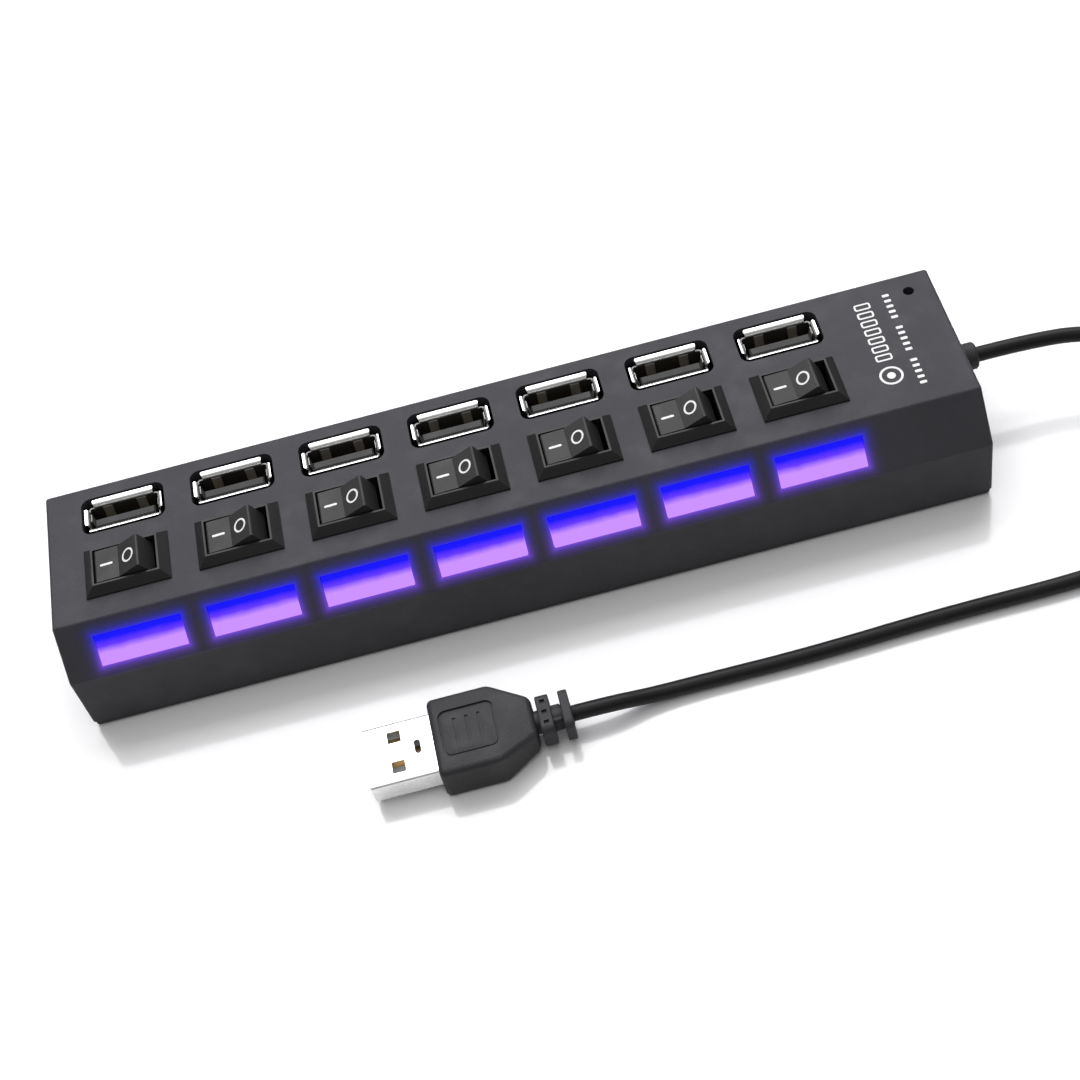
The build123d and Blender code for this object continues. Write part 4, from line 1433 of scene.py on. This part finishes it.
@dataclass
class SocketSprings:
    """Leaf springs bowed into each socket from its walls."""

    width: float = 1.7 * MM
    sheet: float = 0.2 * MM
    start_below: float = 1.3 * MM
    step: float = 0.9 * MM
    bow: tuple[float, ...] = (0.12, 0.3, 0.45, 0.5, 0.42, 0.25, 0.08)
    spread: float = 3.1 * MM
    side_leaf_y: float = 0.6 * MM

    def leaf(self, name: str, wall: Wall, middle: Point) -> bpy.types.Object:
        """Model one leaf, drawn down from its root with its bow.

        Args:
            name: the leaf's name.
            wall: which wall it grows from.
            middle: the middle of its root, on the wall's inner face.

        Returns:
            The leaf.
        """
        inward = {Wall.BACK: (0, -1, 0), Wall.LEFT: (1, 0, 0), Wall.RIGHT: (-1, 0, 0)}[wall]
        size = (self.sheet, self.width, self.sheet)
        if wall is Wall.BACK:
            size = (self.width, self.sheet, self.sheet)
        leaf = Bench.box(name, middle, size)
        before = 0.0
        for bow in self.bow:
            lowest = min(v.co.z for v in leaf.data.vertices)
            Bench.pick(leaf, lambda face: all(v.co.z < lowest + 0.01 * MM for v in face.verts))
            push = (bow - before) * MM
            Bench.extrude((inward[0] * push, inward[1] * push, -self.step))
            Bench.clear()
            before = bow
        Bench.smooth(leaf, 50.0)
        return leaf

    def build(self, palette: Palette, count: int) -> None:
        """Put springs in every socket.

        Args:
            palette: the hub's finishes.
            count: how many sockets there are.
        """
        low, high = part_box("port_shell_1")
        centre = (low + high) / 2
        base_low, base_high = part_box("port_insulator_1")
        half_x = (base_high.x - base_low.x) / 2
        half_y = (base_high.y - base_low.y) / 2
        root = high.z - self.start_below
        first = [
            self.leaf("leaf", Wall.BACK, (centre.x + s * self.spread, centre.y + half_y, root))
            for s in (-1, 1)
        ]
        for wall, side in ((Wall.LEFT, -1), (Wall.RIGHT, 1)):
            place = (centre.x + side * half_x, centre.y + self.side_leaf_y, root)
            first.append(self.leaf("leaf", wall, place))
        model = Bench.join(first)
        model.name = "socket_springs_1"
        paint(model, palette["spring"])
        for number in range(2, count + 1):
            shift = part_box(f"port_shell_{number}")[0] - low
            Bench.copy(model, f"socket_springs_{number}", tuple(shift))
        for number in range(1, count + 1):
            made = bpy.data.objects[f"socket_springs_{number}"]
            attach(made, "case")
        log.info("socket springs: %d", count)


@dataclass
class Case:
    """The case, its board and everything fixed to them."""

    count: int = 7
    plain: dict[str, str] = field(
        default_factory=lambda: {
            "top_cover": "case",
            "bottom_cover": "base",
            "circuit_board": "board",
            "port_contacts": "gold",
            "switch_terminals": "tin",
            "light_strip": "window",
            "port_leds": "lamp",
            "power_led": "dark_lamp",
            "hub_controllers": "resin",
            "capacitors": "sleeve",
            "crystal": "nickel",
            "dc_jack_housing": "inlet",
            "dc_jack_pin": "nickel",
            "strain_relief": "grip",
            "plug_shell": "shell",
            "plug_insulator": "block",
            "plug_contacts": "gold",
            "rubber_feet": "feet",
            "case_screws": "zinc",
            "lead_wires": "wires",
        }
    )
    repeated: dict[str, str] = field(
        default_factory=lambda: {
            "port_shell": "socket",
            "port_insulator": "tongue",
            "switch_frame": "frame",
            "rocker": "rocker",
            "contact_lever": "tin",
        }
    )

    def build(self, palette: Palette, nodes: dict[str, bpy.types.Object]) -> None:
        """Dress every CAD piece.

        Args:
            palette: the hub's finishes.
            nodes: the CAD pieces by name.
        """
        for name, finish in self.plain.items():
            paint(nodes[name], palette[finish])
        for name, finish in self.repeated.items():
            for number in range(1, self.count + 1):
                paint(nodes[f"{name}_{number}"], palette[finish])
        log.info("dressed %d pieces", len(self.plain) + self.count * len(self.repeated))


@dataclass
class FrontBand:
    """The slanted front band and the windows on it."""

    run: float = 6.5 * MM
    fall: float = 8.0 * MM
    edge_y: float = -15.0 * MM
    drop: float = 5.75 * MM
    half_width: float = 7.8 * MM
    half_height: float = 2.85 * MM

    def place(self, count: int) -> WindowBand:
        """Work out where the lit windows lie from the switches above them.

        Args:
            count: how many windows there are.

        Returns:
            The windows' place on the band.
        """
        first_low, first_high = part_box("switch_frame_1")
        second_low, second_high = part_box("switch_frame_2")
        first_x = (first_low.x + first_high.x) / 2
        length = math.hypot(self.run, self.fall)
        return WindowBand(
            edge_y=self.edge_y,
            edge_z=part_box("top_cover")[1].z,
            fall=(0.0, -self.run / length, -self.fall / length),
            first_x=first_x,
            pitch=(second_low.x + second_high.x) / 2 - first_x,
            count=count,
            drop=self.drop,
            half_width=self.half_width,
            half_height=self.half_height,
        )


def main() -> None:
    """Build the hub, its lead and its setting."""
    logging.basicConfig(level=logging.INFO, format="%(name)s %(message)s")
    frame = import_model()
    palette = Palette(FrontBand().place(Case.count))
    studio = Studio()
    studio.camera()
    lead_maker = Lead()
    lead = lead_maker.build(palette)
    tie = Tie().build(palette)
    plug = Plug().build(palette)
    Case().build(palette, frame["nodes"])
    SocketSprings().build(palette, Case.count)
    RockerMarks().build(palette, frame)
    TopPrint().build(palette)
    studio.build()


if __name__ == "__main__":
    main()
